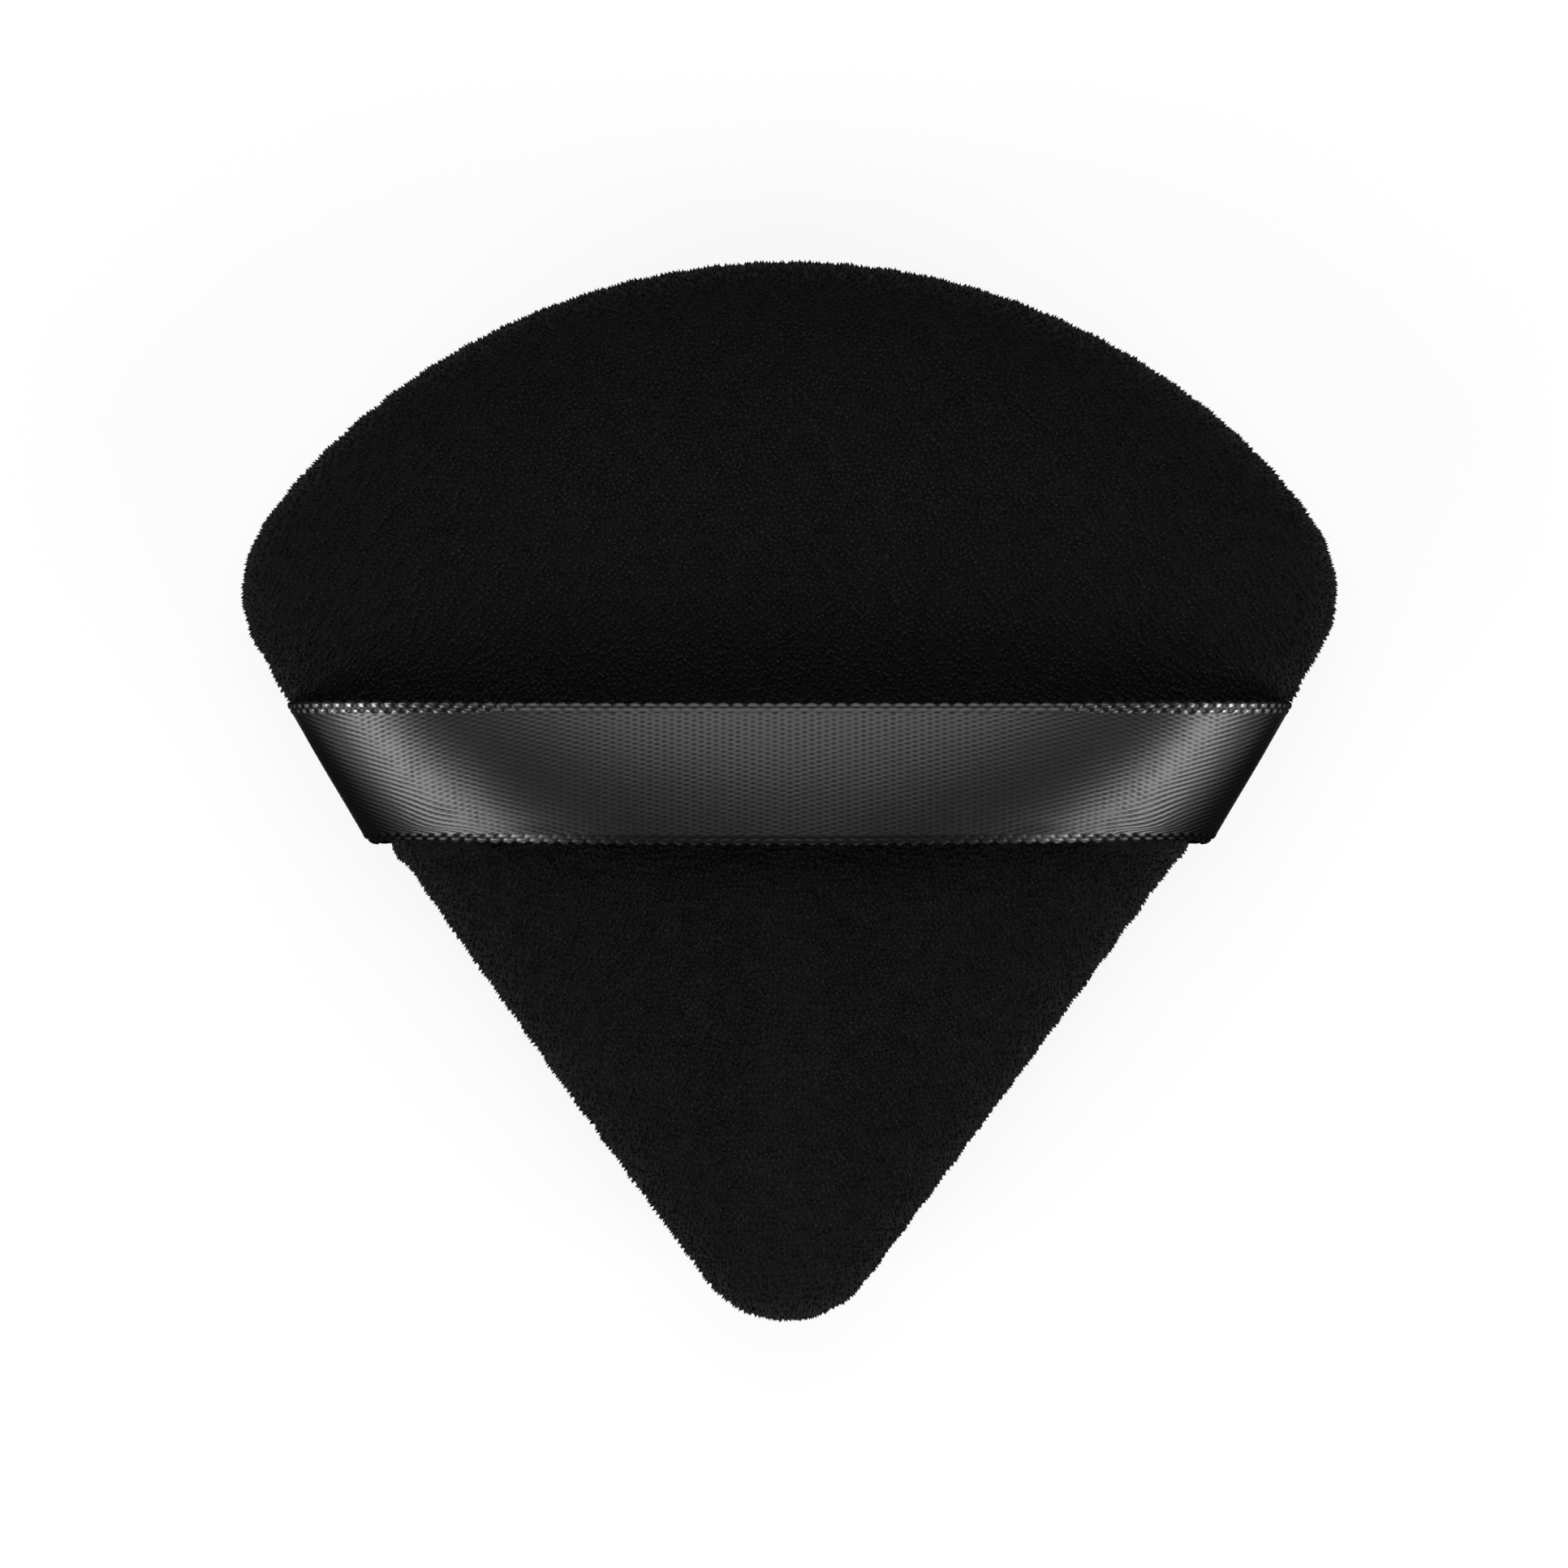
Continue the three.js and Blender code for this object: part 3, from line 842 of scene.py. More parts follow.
        aside = np.cross(out, ahead)
        radius = self.tuft_radius * draws.uniform(0.8, 1.2, len(tip))
        sunk = foot - out * self.tuft_sink
        corners = [
            sunk + (ahead * math.cos(turn) + aside * math.sin(turn)) * radius[:, None]
            for turn in (0.0, 2.0 * math.pi / 3, 4.0 * math.pi / 3)
        ]
        vertices = np.stack([*corners, point], axis=1).reshape(-1, 3)
        first = 4 * np.arange(len(tip))[:, None]
        sides = ((0, 1, 3), (1, 2, 3), (2, 0, 3), (0, 2, 1))
        faces = np.concatenate([first + np.array(side) for side in sides])
        tone = self.tuft_tone + 0.2 * ripple(tip, 0.9, 60.0) + draws.normal(0.0, 0.05, len(tip))
        # Painted shade: each tuft's three foot corners are painted darker than its tip.
        tones = np.clip(tone, 0.0, 1.0)[:, None] * np.array([0.85, 0.85, 0.85, 1.0])
        return vertices, faces, tones.ravel()

    def between(self, grid: np.ndarray, row: np.ndarray, place: np.ndarray) -> np.ndarray:
        """Reads a grid at places between its points.

        Args:
            grid: The grid, rows by places round the seam.
            row: How far down it to read.
            place: How far round it to read.

        Returns:
            The values there, as rows.
        """
        top, left = row.astype(int), place.astype(int) % self.count
        down, over = (row - top)[:, None], (place - np.floor(place))[:, None]
        below, right = np.minimum(top + 1, len(grid) - 1), (left + 1) % self.count
        upper, lower = (grid[r, left] * (1.0 - over) + grid[r, right] * over for r in (top, below))
        return upper * (1.0 - down) + lower * down

    def inside(self, face: Face) -> np.ndarray:
        """The seam allowance and the cloth's inner face, from the fold to the inner peak.

        Args:
            face: The panel.

        Returns:
            Points in an array of rows by places round the seam.
        """
        side, seam = face.value, self.crown.seam_height
        top = self.half_gap + self.cloth_thickness
        inner = self.crown.height - self.cloth_thickness
        rows = []
        for inset in (1.0, 1.1, self.stitch_inset, 2.2, 2.3, self.allowance):
            lift = self.half_gap + np.maximum(self.tail_lift(), self.channel(inset))
            rows.append(self.ring(inset, 1.0, seam + side * lift))
        rows += [self.ring(inset, 1.0, seam + side * top) for inset in (self.allowance, 2.8)]
        for share, rise in reversed(self.crown.rows(inner, top, self.lining_spacing)):
            rows.append(self.ring(self.cloth_thickness, share, seam + side * rise))
        return np.array(rows)

    def build(self, face: Face, name: str, seed: int) -> bpy.types.Object:
        """Makes one panel: ground, pile, fold, allowance and inner face.

        Args:
            face: The panel.
            name: The piece's name.
            seed: Starts its random draws.

        Returns:
            The piece.
        """
        plain = self.outside(face)
        normals = self.facing(plain, face)
        tips = plain + normals * self.relief(plain, normals)[..., None]
        tips[..., 2] = np.maximum(tips[..., 2], 0.0)
        rise = np.abs(tips[..., 2] - self.crown.seam_height)
        pile = self.pile_height * (0.5 + 0.5 * smooth_step(0.1, 1.2, rise))
        if face is Face.FRONT:
            pile *= 0.55 + 0.45 * smooth_step(0.0, 1.5, tips[..., 2])
        else:
            beside = smooth_step(20.0, 22.0, np.abs(tips[..., 0]))
            pile *= 1.0 - 0.55 * self.under_strap(tips[..., 1] + 0.3) * beside
        base = tips - normals * pile[..., None]
        inner = self.inside(face)
        peak = tips[0].mean(axis=0) - normals[0].mean(axis=0) * pile[0].mean()
        points = np.concatenate([*base, *inner, [peak], [inner[-1].mean(axis=0)]])
        faces = ring_faces(len(base) + len(inner), self.count)
        faces = [corners[:, :: face.value] for corners in faces]
        tuft_points, tuft_faces, tones = self.tufts(base, tips, normals, seed)
        tuft_points[:, 2] = np.maximum(tuft_points[:, 2], 0.0)
        faces.append(tuft_faces + len(points))
        piece = mesh_piece(name, np.concatenate([points, tuft_points]), faces)
        # Painted shade: the ground between the tufts takes the darker ground tone.
        ground = np.full(len(points), self.shaded_ground_tone)
        paint_number(piece, "nap", np.concatenate([ground, tones]))
        piece.data.materials.append(self.finish.material(name))
        LOG.info("%s: %d tufts, %d faces", name, len(tones) // 4, len(piece.data.polygons))
        return piece


@dataclass
class SpongeCore:
    """The soft sponge that fills the cover, in millimetres."""

    cover: VelourCover
    finish: SpongeFinish
    clearance: float = 0.3
    lip_inset: float = 3.1
    lip_rise: float = 2.6
    ledge: float = 1.85
    groove: float = 4.35
    row_spacing: float = 1.2
    pit_pitch: float = 0.7
    pit_depth: float = 0.06

    def build(self, name: str) -> bpy.types.Object:
        """Makes the sponge.

        Args:
            name: The piece's name.

        Returns:
            The piece.
        """
        cover, crown = self.cover, self.cover.crown
        inset = cover.cloth_thickness + self.clearance
        rows = crown.rows(crown.height - inset, self.lip_rise, self.row_spacing)
        levels = [(inset, share, rise) for share, rise in rows]
        levels += [(self.lip_inset, 1.0, self.lip_rise), (self.lip_inset, 1.0, self.ledge)]
        levels.append((self.groove, 1.0, self.ledge))
        levels += [(*place, -rise) for *place, rise in reversed(levels)]
        grid = np.array([cover.ring(*place, crown.seam_height + rise) for *place, rise in levels])
        pits = self.pit_depth * ripple(grid, self.pit_pitch, 5.0)
        grid = grid + pits[..., None] * unit(grid - grid.mean(axis=(0, 1)))
        points = np.concatenate([*grid, [grid[0].mean(axis=0)], [grid[-1].mean(axis=0)]])
        piece = mesh_piece(name, points, ring_faces(len(grid), cover.count))
        piece.data.materials.append(self.finish.material(name))
        LOG.info("%s: %d faces", name, len(piece.data.polygons))
        return piece


@dataclass
class RibbonStrap:
    """The satin ribbon that bows over the puff with both ends in the seam, in millimetres."""

    outline: FanOutline
    finish: SatinFinish
    width: float = 9.5
    thickness: float = 0.26
    upper_ahead: float = 5.98
    seam_height: float = 6.75
    top_height: float = 19.55
    stand_by: float = 0.42
    rim_bow: float = 0.12
    lower_stand: float = 1.25
    corner_share: float = 0.93
    corner_draw: float = 0.4
    fold_heights: tuple = (0.6, 1.5)
    fullness: tuple = (3.2, 2.1)
    fade_power: float = 0.7
    tail: float = 3.7
    lifted_half: float = 12.0
    cup: float = 0.34
    end_pitch: float = 0.32
    pick_pitch: float = 0.4985
    weave_height: float = 0.025
    weave_seat: float = 0.05
    ridge_gain: float = 0.7
    end_zone: tuple = (17.0, 25.0)
    bead_pitch: float = 0.997
    bead_width: float = 0.32
    bead_height: float = 0.105
    bead_seat: float = 0.03
    scallop: float = 0.1
    column_step: float = 0.052
    along_step: float = 0.11
    bow_steps: int = 900
    ridge: tuple = (30.4, 0.5, 0.08)
    ridge_fade: tuple = (-1.6, 1.6)
    gather: float = 0.42
    gather_at: tuple = (25.0, 2.6)
    gather_zones: tuple = ((5.4, 8.2), (8.3, 8.8))
    waviness: float = 0.06
    satin_tone: float = 0.316
    # Painted highlight on the upper beads at the ends.
    painted_highlight_at: tuple = (30.4, 2.8)
    # Painted highlight: the upper beads are painted lighter round |X| 19 mm.
    painted_upper_glint: float = 0.08
    painted_upper_glint_at: tuple = (19.0, 3.5)
    # Painted highlight: glints on the lower beads.
    painted_glint: float = 0.29
    painted_glint_at: tuple = (19.0, 2.3)
    # Painted shade: a dark line on the floats just above the lower beads.
    painted_shade_line: float = 0.45
    painted_shade_line_at: tuple = (16.8, 2.2)

    def __post_init__(self) -> None:
        """Sets out the columns across the ribbon, and tells its body from its beaded edges."""
        edge = 2.0 * self.bead_width
        columns = 6 * round((self.width - 2.0 * edge) / self.column_step / 6)
        body = np.linspace(edge, self.width - edge, columns + 1)
        beads = np.linspace(0.0, edge, 13)[:-1]
        self.across = np.concatenate([beads, body, (self.width - beads)[::-1]])
        self.share = self.across / self.width
        self.lower = self.share > 0.5
        self.inward = np.minimum(self.across, self.width - self.across)
        self.beaded = self.inward < edge - TINY

    def route(self, across: np.ndarray, turn: np.ndarray) -> np.ndarray:
        """The ribbon's middle surface on the +X side.

        Args:
            across: The share of the way from the upper to the lower edge.
            turn: From 0 at the crown of the bow over 1 at its widest and 2 in the seam to 3 at
                the tail's end.

        Returns:
            The points, as an array with one more axis.
        """
        ahead = self.upper_ahead - self.width * across
        slant = 1.0 / math.cos(self.outline.side_angle)
        rim = self.outline.half_width(ahead) + self.rim_bow
        corner = np.clip((across - self.corner_share) / (1.0 - self.corner_share), 0.0, 1.0)
        stand = self.stand_by * slant + self.lower_stand * across - self.corner_draw * corner**2
        fold = self.fold_heights[0] + (self.fold_heights[1] - self.fold_heights[0]) * across
        spread = np.clip(across, 0.0, 1.0) ** self.fade_power
        power = 2.0 / (self.fullness[0] + (self.fullness[1] - self.fullness[0]) * spread)
        foot = self.seam_height + fold
        angle, bend = (np.clip(turn - start, 0.0, 1.0) * math.pi / 2 for start in (0.0, 1.0))
        bow_x = (rim + stand) * np.sin(angle) ** power
        bow_z = foot + (self.top_height - foot) * np.maximum(np.cos(angle), 0.0) ** power
        fold_x = rim + stand * np.cos(bend)
        fold_z = foot - fold * np.sin(bend)
        tail_x = rim - self.tail * slant * np.clip(turn - 2.0, 0.0, 1.0)
        x = np.where(turn <= 1.0, bow_x, np.where(turn <= 2.0, fold_x, tail_x))
        z = np.where(turn <= 1.0, bow_z, np.where(turn <= 2.0, fold_z, self.seam_height))
        return np.stack([x, np.broadcast_to(ahead, x.shape), z], -1)

    def half_lines(self) -> tuple[np.ndarray, np.ndarray]:
        """Every line of the ribbon from its middle to its tail, on the +X side, finely stepped.

        Returns:
            The points, steps by columns, and how far along the ribbon each one is.
        """
        bow, bend, tail = (np.linspace(0.0, 1.0, steps) for steps in (self.bow_steps, 40, 30))
        turn = np.concatenate([bow**0.8, 1.0 + bend[1:], 2.0 + tail[1:]])
        steps, columns = np.meshgrid(turn, self.share, indexing="ij")
        lines = self.route(columns, steps)
        lengths = np.linalg.norm(np.diff(lines, axis=0), axis=-1)
        travel = np.concatenate([np.zeros((1, lengths.shape[1])), np.cumsum(lengths, axis=0)])
        return lines, travel

    def ridge_side(self, travel: np.ndarray) -> np.ndarray:
        """How far each place is past the line where the ribbon turns down, from 0 to 1."""
        down, (at, slope, bend) = self.across + 0.1, self.ridge
        return smooth_step(*self.ridge_fade, np.abs(travel) - (at - slope * down - bend * down**2))

    def weave(self, travel: np.ndarray) -> np.ndarray:
        """The height of the weave: five-end satin in the body and beads along the selvedges.

        Args:
            travel: How far along the ribbon each point is, steps by columns.

        Returns:
            The height as a share, from 0 in a gap to 1 on a float or bead.
        """
        run, across, lower = np.abs(travel), self.across, self.lower
        flat = np.stack([travel, np.broadcast_to(across, travel.shape), np.zeros_like(travel)], -1)
        rise, fall = (smooth_step(*zone, across) for zone in self.gather_zones)
        pulled = self.gather * (rise * (1.0 - fall)) * bell(*self.gather_at, run)
        ends = (across - pulled) / self.end_pitch + 0.1 * ripple(flat, 2.4, 17.0)
        picks = run / self.pick_pitch
        beyond = self.ridge_side(travel)
        inner = smooth_step(20.5, 25.0, run) * (1.0 - beyond)
        falling = (0.5 - 0.24 * inner + 0.36 * beyond) * wave(ends + 0.4 * picks)
        rising = (0.42 + 0.42 * inner - 0.27 * beyond) * wave(ends - 0.6 * picks)
        ribs = (0.5 - 0.4 * smooth_step(8.0, 20.0, run)) * wave(picks)
        vigour = 0.8 + 0.5 * ripple(flat, 1.1, 23.0)
        floats = np.clip(0.5 - 0.42 * vigour * (falling + rising + ribs), 0.0, 1.0)
        bead_row = np.clip(np.floor(self.inward / self.bead_width + TINY), 0, 1)
        bead_share = self.inward / self.bead_width - bead_row
        bead_round = np.sqrt(np.clip(1.0 - (2.0 * bead_share - 1.0) ** 2, 0.0, 1.0))
        slant = 0.35 * (self.inward / (2.0 * self.bead_width)) * lower
        bead_cell = (run / self.bead_pitch + 0.5 * bead_row + slant) % 1.0
        tight = smooth_step(17.0, 23.0, run)
        bead_length = 0.86 - (0.24 - 0.1 * lower) * tight - 0.04 * bead_row
        bead_long = np.clip(1.0 - (np.abs(2.0 * bead_cell - 1.0) / bead_length) ** 2, 0.0, 1.0)
        beads = (bead_round * np.sqrt(bead_long)) ** 0.6
        calm = (0.6 + 0.2 * lower) * (1.0 - tight)
        calm = calm * (0.45 + 0.55 * bead_row + 0.4 * lower * (1.0 - bead_row))
        return np.where(self.beaded, beads * (1.0 - calm) + 0.42 * calm, floats)

    def tone(self, grid: np.ndarray, travel: np.ndarray, raised: np.ndarray) -> np.ndarray:
        """How light the threads are painted on the floats and beads and in the gaps between them,
        with painted highlights and painted shade.

        Args:
            grid: The ribbon's surface, steps by columns.
            travel: How far along the ribbon each point is.
            raised: The height of the weave there, as a share.

        Returns:
            The share of the finish's lighter colour at each point.
        """
        aside, share = np.abs(grid[..., 0]), self.share
        ends = smooth_step(*self.end_zone, np.abs(travel))
        # Painted shade: the gaps between the floats are darker by the weave's height, deeper at the
        # ends, where a painted highlight also lightens the floats.
        deep = 0.55 + 0.1 * ends
        woven = (1.0 - deep + deep * smooth_step(0.1, 0.9, raised)) * (1.0 + 0.074 * ends)
        # Painted shade: a dark line on the floats just above the lower beads, round |X| 16.8 mm.
        woven *= 1.0 - self.painted_shade_line * smooth_step(0.82, 0.9, share) * bell(*self.painted_shade_line_at, aside)
        # At the ends the upper beads get a painted highlight round |X| 30.4 mm, and the lower beads
        # are painted darker: painted shade.
        outer = np.where(self.lower, 0.24, 0.42 + 0.48 * bell(*self.painted_highlight_at, aside))
        # Painted shade: along the middle the lower beads are painted darker than the upper ones.
        edging = (0.28 - 0.17 * self.lower) * (1.0 - ends) + outer * ends
        # Painted highlight: glints on the lower beads round |X| 19 mm, where the lamps' band
        # crosses them.
        painted_glints = self.painted_glint * bell(*self.painted_glint_at, aside)
        # Painted highlight: the upper beads are painted lighter round |X| 19 mm.
        edging += np.where(self.lower, painted_glints, self.painted_upper_glint * bell(*self.painted_upper_glint_at, aside))
        # Painted shade: the beads are darker where they are low, between one bead and the next.
        glow = smooth_step(0.0, 1.0, (raised - 0.1 - 0.15 * ends) / (0.25 + 0.3 * ends))
        # Painted shade: the ribbon is painted darker towards its outer ends where it turns down to
        # the seam, and fully dark below the fold.
        inboard = aside.max(axis=0) - aside
        clear_of_painted_shade = smooth_step(0.0, 1.0, (inboard - 0.9 * share**2) / (0.5 + 6.0 * share))
        clear_of_painted_shade *= grid[..., 2] > self.seam_height + 1.5
        threads = np.where(self.beaded, edging * (0.15 + 0.85 * glow), self.satin_tone * woven)
        return threads * (0.35 + 0.65 * clear_of_painted_shade)

    def sheet(self) -> tuple[np.ndarray, np.ndarray, np.ndarray, int]:
        """The whole ribbon from tail to tail.

        Returns:
            Its middle surface, outward directions and length along it, steps by columns, and how
            many steps each end has.
        """
        lines, travel = self.half_lines()
        columns = range(len(self.across))
        bow = slice(0, self.bow_steps - 20)
        near = [np.interp(self.lifted_half, lines[bow, c, 0], travel[bow, c]) for c in columns]
        near, far = np.array(near), travel[-1]
        inner = round(near.max() / self.along_step)
        outer = round(float(np.max(far - near)) / self.along_step)
        lifted = np.linspace(0.0, 1.0, inner + 1)[:-1, None] * near
        beyond = near + np.linspace(0.0, 1.0, outer + 1)[:, None] * (far - near)
        goal = np.concatenate([lifted, beyond])
        grid = [
            [np.interp(goal[:, c], travel[:, c], axis) for axis in lines[:, c].T] for c in columns
        ]
        grid = np.array(grid).transpose(2, 0, 1)
        grid = np.concatenate([grid[:0:-1] * np.array([-1.0, 1.0, 1.0]), grid])
        goal = np.concatenate([-goal[:0:-1], goal])
        up = unit(np.cross(np.gradient(grid, self.across, axis=1), np.gradient(grid, axis=0)))
        return grid, up, goal, outer

    def build(self, part: StrapPart, name: str) -> bpy.types.Object:
        """Makes one length of the ribbon with its weave and picot edges.

        Args:
            part: Which length.
            name: The piece's name.

        Returns:
            The piece.
        """
        grid, up, travel, outer = self.sheet()
        raised, run = self.weave(travel), np.abs(travel)
        sideways = unit(np.gradient(grid, self.across, axis=1))
        lifted = smooth_step(8.0, 11.0, grid[..., 2])
        shown = smooth_step(self.seam_height + 0.1, self.seam_height + 0.8, grid[..., 2])
        cupped = self.cup * ((2.0 * self.share - 0.88) ** 2 - 0.4) * lifted
        drape = self.waviness * ripple(grid, 7.0, 31.0) * lifted
        grid = grid - up * (cupped - drape)[..., None]
        gain = 1.0 + self.ridge_gain * smooth_step(*self.end_zone, run)
        woven = self.weave_height * gain * raised
        height = shown * np.where(self.beaded, self.bead_height * raised - self.bead_seat, woven)
        rim = np.where(self.lower, 1.0, -1.0) * (self.inward < TINY)
        scallops = rim * shown * -self.scallop * wave(run / self.bead_pitch)
        grid = grid + sideways * scallops[..., None]
        middle = part is StrapPart.MIDDLE
        core = self.thickness / 2.0 - self.weave_seat
        top = grid + up * (core + height)[..., None]
        bottom = grid - up * (core + 0.6 * height * middle)[..., None]
        rows = {
            StrapPart.LEFT: slice(0, outer + 1),
            StrapPart.MIDDLE: slice(outer, len(grid) - outer),
            StrapPart.RIGHT: slice(len(grid) - outer - 1, len(grid)),
        }[part]
        step = 1 if middle else 6
        kept = (top, bottom[:, ::step], travel, self.tone(grid, travel, raised))
        return self.close(name, *(self.hemmed(values[rows]) for values in kept), step)

    @staticmethod
    def hemmed(values: np.ndarray) -> np.ndarray:
        """Adds a row just inside each end, which keeps the shading plain up to the cut.

        Args:
            values: A grid of points or numbers, steps by columns.

        Returns:
            The grid with two more steps.
        """
        first = values[:1] * 0.96 + values[1:2] * 0.04
        last = values[-1:] * 0.96 + values[-2:-1] * 0.04
        return np.concatenate([values[:1], first, values[1:-1], last, values[-1:]])

    def close(
        self,
        name: str,
        top: np.ndarray,
        bottom: np.ndarray,
        travel: np.ndarray,
        tone: np.ndarray,
        step: int,
    ) -> bpy.types.Object:
        """Joins a top and an underside into a closed piece.

        Args:
            name: The piece's name.
            top: The upper surface.
            bottom: The underside, with fewer columns.
            travel: How far along the ribbon each point of the top is.
            tone: How light each of them is painted, painted highlights and shade included.
            step: How many columns of the top there are to one of the underside.

        Returns:
            The piece, with its UV map and its tone stored.
        """
        steps, wide, low = top.shape[0], top.shape[1], bottom.shape[1]
        over = np.arange(steps * wide).reshape(steps, wide)
        below = steps * wide + np.arange(steps * low).reshape(steps, low)
        faces = [
            self.quads(over)[:, ::-1],
            self.quads(below),
            np.column_stack([over[:-1, 0], over[1:, 0], below[1:, 0], below[:-1, 0]])[:, ::-1],
            np.column_stack([over[:-1, -1], below[:-1, -1], below[1:, -1], over[1:, -1]])[:, ::-1],
        ]
        caps = []
        for row, turned in ((0, -1), (steps - 1, 1)):
            for c in range(low - 1):
                fan = range(c * step, (c + 1) * step)
                caps += [(over[row, k], over[row, k + 1], below[row, c])[::turned] for k in fan]
                caps.append((over[row, (c + 1) * step], below[row, c + 1], below[row, c])[::turned])
        points = np.concatenate([top.reshape(-1, 3), bottom.reshape(-1, 3)])
        piece = mesh_piece(name, points, [*faces, np.array(caps)])
        total = len(piece.data.polygons)
        piece.data.polygons.foreach_set("use_smooth", np.arange(total) < total - len(caps))
        paint_number(piece, "tone", np.concatenate([tone.ravel(), tone[:, ::step].ravel()]))
        along = np.concatenate([travel.ravel(), travel[:, ::step].ravel()])
        across = np.concatenate([np.tile(self.across, steps), np.tile(self.across[::step], steps)])
        loops = np.zeros(len(piece.data.loops), np.int32)
        piece.data.loops.foreach_get("vertex_index", loops)
        pairs = np.column_stack([along, across])[loops] / 10.0
        layer = piece.data.uv_layers.new(name="ribbon")
        layer.data.foreach_set("uv", pairs.astype(np.float32).ravel())
        piece.data.materials.append(self.finish.material(name))
        LOG.info("%s: %d faces", name, total)
        return piece

    @staticmethod
    def quads(numbers: np.ndarray) -> np.ndarray:
        """Faces between the points of a numbered grid."""
        corners = [numbers[:-1, :-1], numbers[1:, :-1], numbers[1:, 1:], numbers[:-1, 1:]]
        return np.stack(corners, -1).reshape(-1, 4)


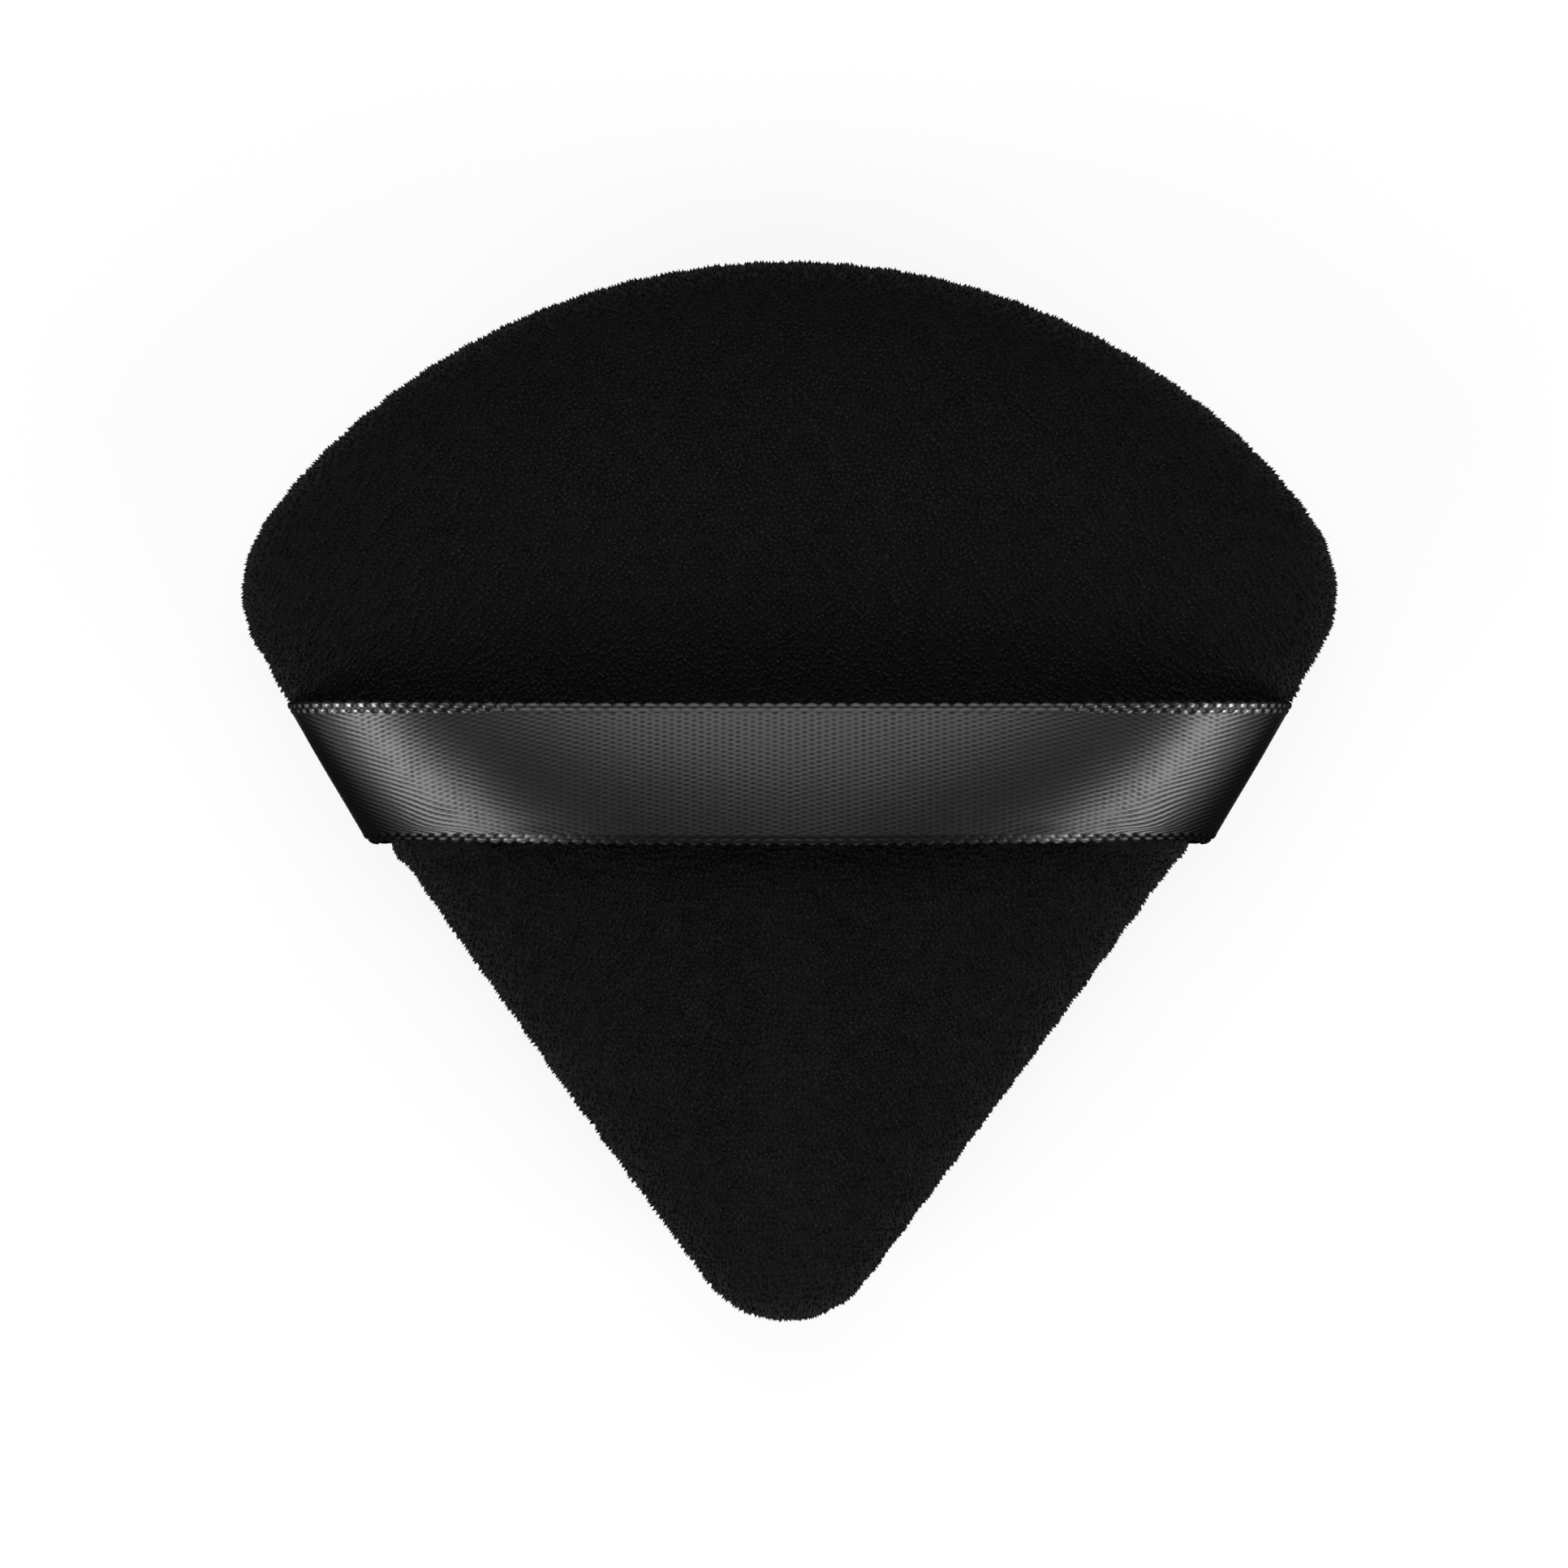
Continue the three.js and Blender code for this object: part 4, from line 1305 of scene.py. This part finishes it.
@dataclass
class Studio:
    """The white floor, the soft lights and the camera straight above, in metres."""

    view_side: float = 0.1075
    lens: float = 300.0
    sensor: float = 36.0
    centre: tuple = (-0.00039, 0.00053)
    focus_height: float = 0.00675
    floor_size: float = 12.0
    floor_drop: float = 0.00002
    ambient: float = 0.3
    ceiling: float = 0.46
    front: float = 0.05

    def camera(self) -> None:
        """Sets the camera over the puff, looking straight down with the fan edge at the top."""
        data = bpy.data.cameras.new("camera")
        data.lens, data.sensor_width = self.lens, self.sensor
        data.clip_start, data.clip_end = 0.05, 50.0
        camera = bpy.data.objects.new("camera", data)
        distance = self.view_side * self.lens / self.sensor
        camera.location = (*self.centre, self.focus_height + distance)
        bpy.context.scene.collection.objects.link(camera)
        bpy.context.scene.camera = camera

    def lamp(self, name: str, place: tuple, size: tuple, strength: float) -> None:
        """Adds a soft box that faces the puff.

        Args:
            name: Its name.
            place: Where it stands.
            size: Its width and height.
            strength: How bright its face is, where 1 is white.
        """
        data = bpy.data.lights.new(name, "AREA")
        data.shape = "RECTANGLE"
        data.size, data.size_y = size
        data.energy = strength * math.pi * size[0] * size[1]
        lamp = bpy.data.objects.new(name, data)
        lamp.location = place
        lamp.rotation_euler = (-Vector(place)).to_track_quat("-Z", "Y").to_euler()
        bpy.context.scene.collection.objects.link(lamp)

    def floor(self) -> None:
        """Lays the white floor, which shows white to the camera and keeps a faint shadow."""
        place = (0.0, 0.0, -self.floor_drop)
        bpy.ops.mesh.primitive_plane_add(size=self.floor_size, location=place)
        floor = bpy.context.object
        floor.name = "floor"
        bench = NodeBench(bpy.data.materials.new("floor"))
        length = {"operation": "LENGTH"}
        away = bench.wire("Value", "ShaderNodeVectorMath", length, {0: bench.place()})
        share = bench.seen() * bench.ease(away, (0.05, 0.86), (0.3, 1.0))
        matt = bench.make("ShaderNodeBsdfDiffuse", None, {"Color": (0.97, 0.97, 0.97, 1.0)})
        white = bench.make("ShaderNodeEmission", None, {"Color": WHITE, "Strength": 1.0})
        bench.mixed("ShaderNodeOutputMaterial", share, matt, white)
        floor.data.materials.append(bench.owner)

    def sky(self) -> None:
        """Gives a plain white surround that lights softly."""
        world = bpy.data.worlds.new("surround")
        bench = NodeBench(world)
        where = bench.make("ShaderNodeTexCoord").outputs["Generated"]
        facing = bench.make("ShaderNodeSeparateXYZ", None, {0: where}).outputs
        overhead = bench.ease(facing["Y"], (-0.48, self.front), (-0.1, self.ceiling))
        sweep = bench.ease(facing["Z"], (0.08, 1.0), (0.3, overhead))
        soft, white = (
            bench.make("ShaderNodeBackground", None, {"Color": WHITE, "Strength": strength})
            for strength in (self.ambient, sweep)
        )
        bench.mixed("ShaderNodeOutputWorld", bench.seen(), soft, white)
        bpy.context.scene.world = world

    def build(self) -> None:
        """Sets up the whole studio."""
        self.camera()
        self.floor()
        self.sky()
        self.lamp("overhead", (0.0, 0.5, 1.4), (1.05, 0.9), 2.0)
        self.lamp("far_box", (0.0, 1.15, 0.75), (1.3, 0.5), 1.8)
        self.lamp("left_box", (-0.875, -0.66, 0.51), (0.8, 0.43), 9.0)
        self.lamp("right_box", (0.875, -0.66, 0.51), (0.8, 0.43), 9.0)
        view = bpy.context.scene.view_settings
        view.view_transform = "Standard"


def main() -> None:
    """Builds every piece in order, ties the panels, the sponge and the ribbon's middle to their
    bodies, and bakes the ribbon's ends where they lie.
    """
    logging.basicConfig(level=logging.INFO, format="%(name)s: %(message)s")
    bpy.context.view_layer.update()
    bpy.ops.object.select_all(action="DESELECT")
    Studio().build()
    bpy.ops.object.select_all(action="DESELECT")
    outline, crown = FanOutline(), Crown()
    swelling = Swelling(outline, crown)
    swelling.settle()
    cover = VelourCover(outline, crown, swelling, VelourFinish())
    for face, node, slot, seed in (
        (Face.BACK, "back_velour_panel", "back_velour", 11),
        (Face.FRONT, "front_velour_panel", "front_velour", 12),
    ):
        panel = cover.build(face, node.replace("_panel", "_pile_cloth"), seed)
        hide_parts(node)
        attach(panel, "puff")
    sponge = SpongeCore(cover, SpongeFinish()).build("sponge_filling")
    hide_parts("foam_core")
    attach(sponge, "puff")
    thread = ThreadFinish().material("sewing_thread")
    for node in ("seam_needle_thread", "seam_bobbin_thread", "closing_thread"):
        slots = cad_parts[node].data.materials
        slots.clear()
        slots.append(thread)
        LOG.info("%s: dressed", node)
    strap = RibbonStrap(outline, SatinFinish())
    middle = strap.build(StrapPart.MIDDLE, "ribbon_middle")
    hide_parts("strap_middle")
    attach(middle, "strap")
    for part, node in ((StrapPart.LEFT, "strap_left_end"), (StrapPart.RIGHT, "strap_right_end")):
        piece = strap.build(part, node.replace("strap", "ribbon"))
        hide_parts(node)
        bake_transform(piece)


if __name__ == "__main__":
    main()
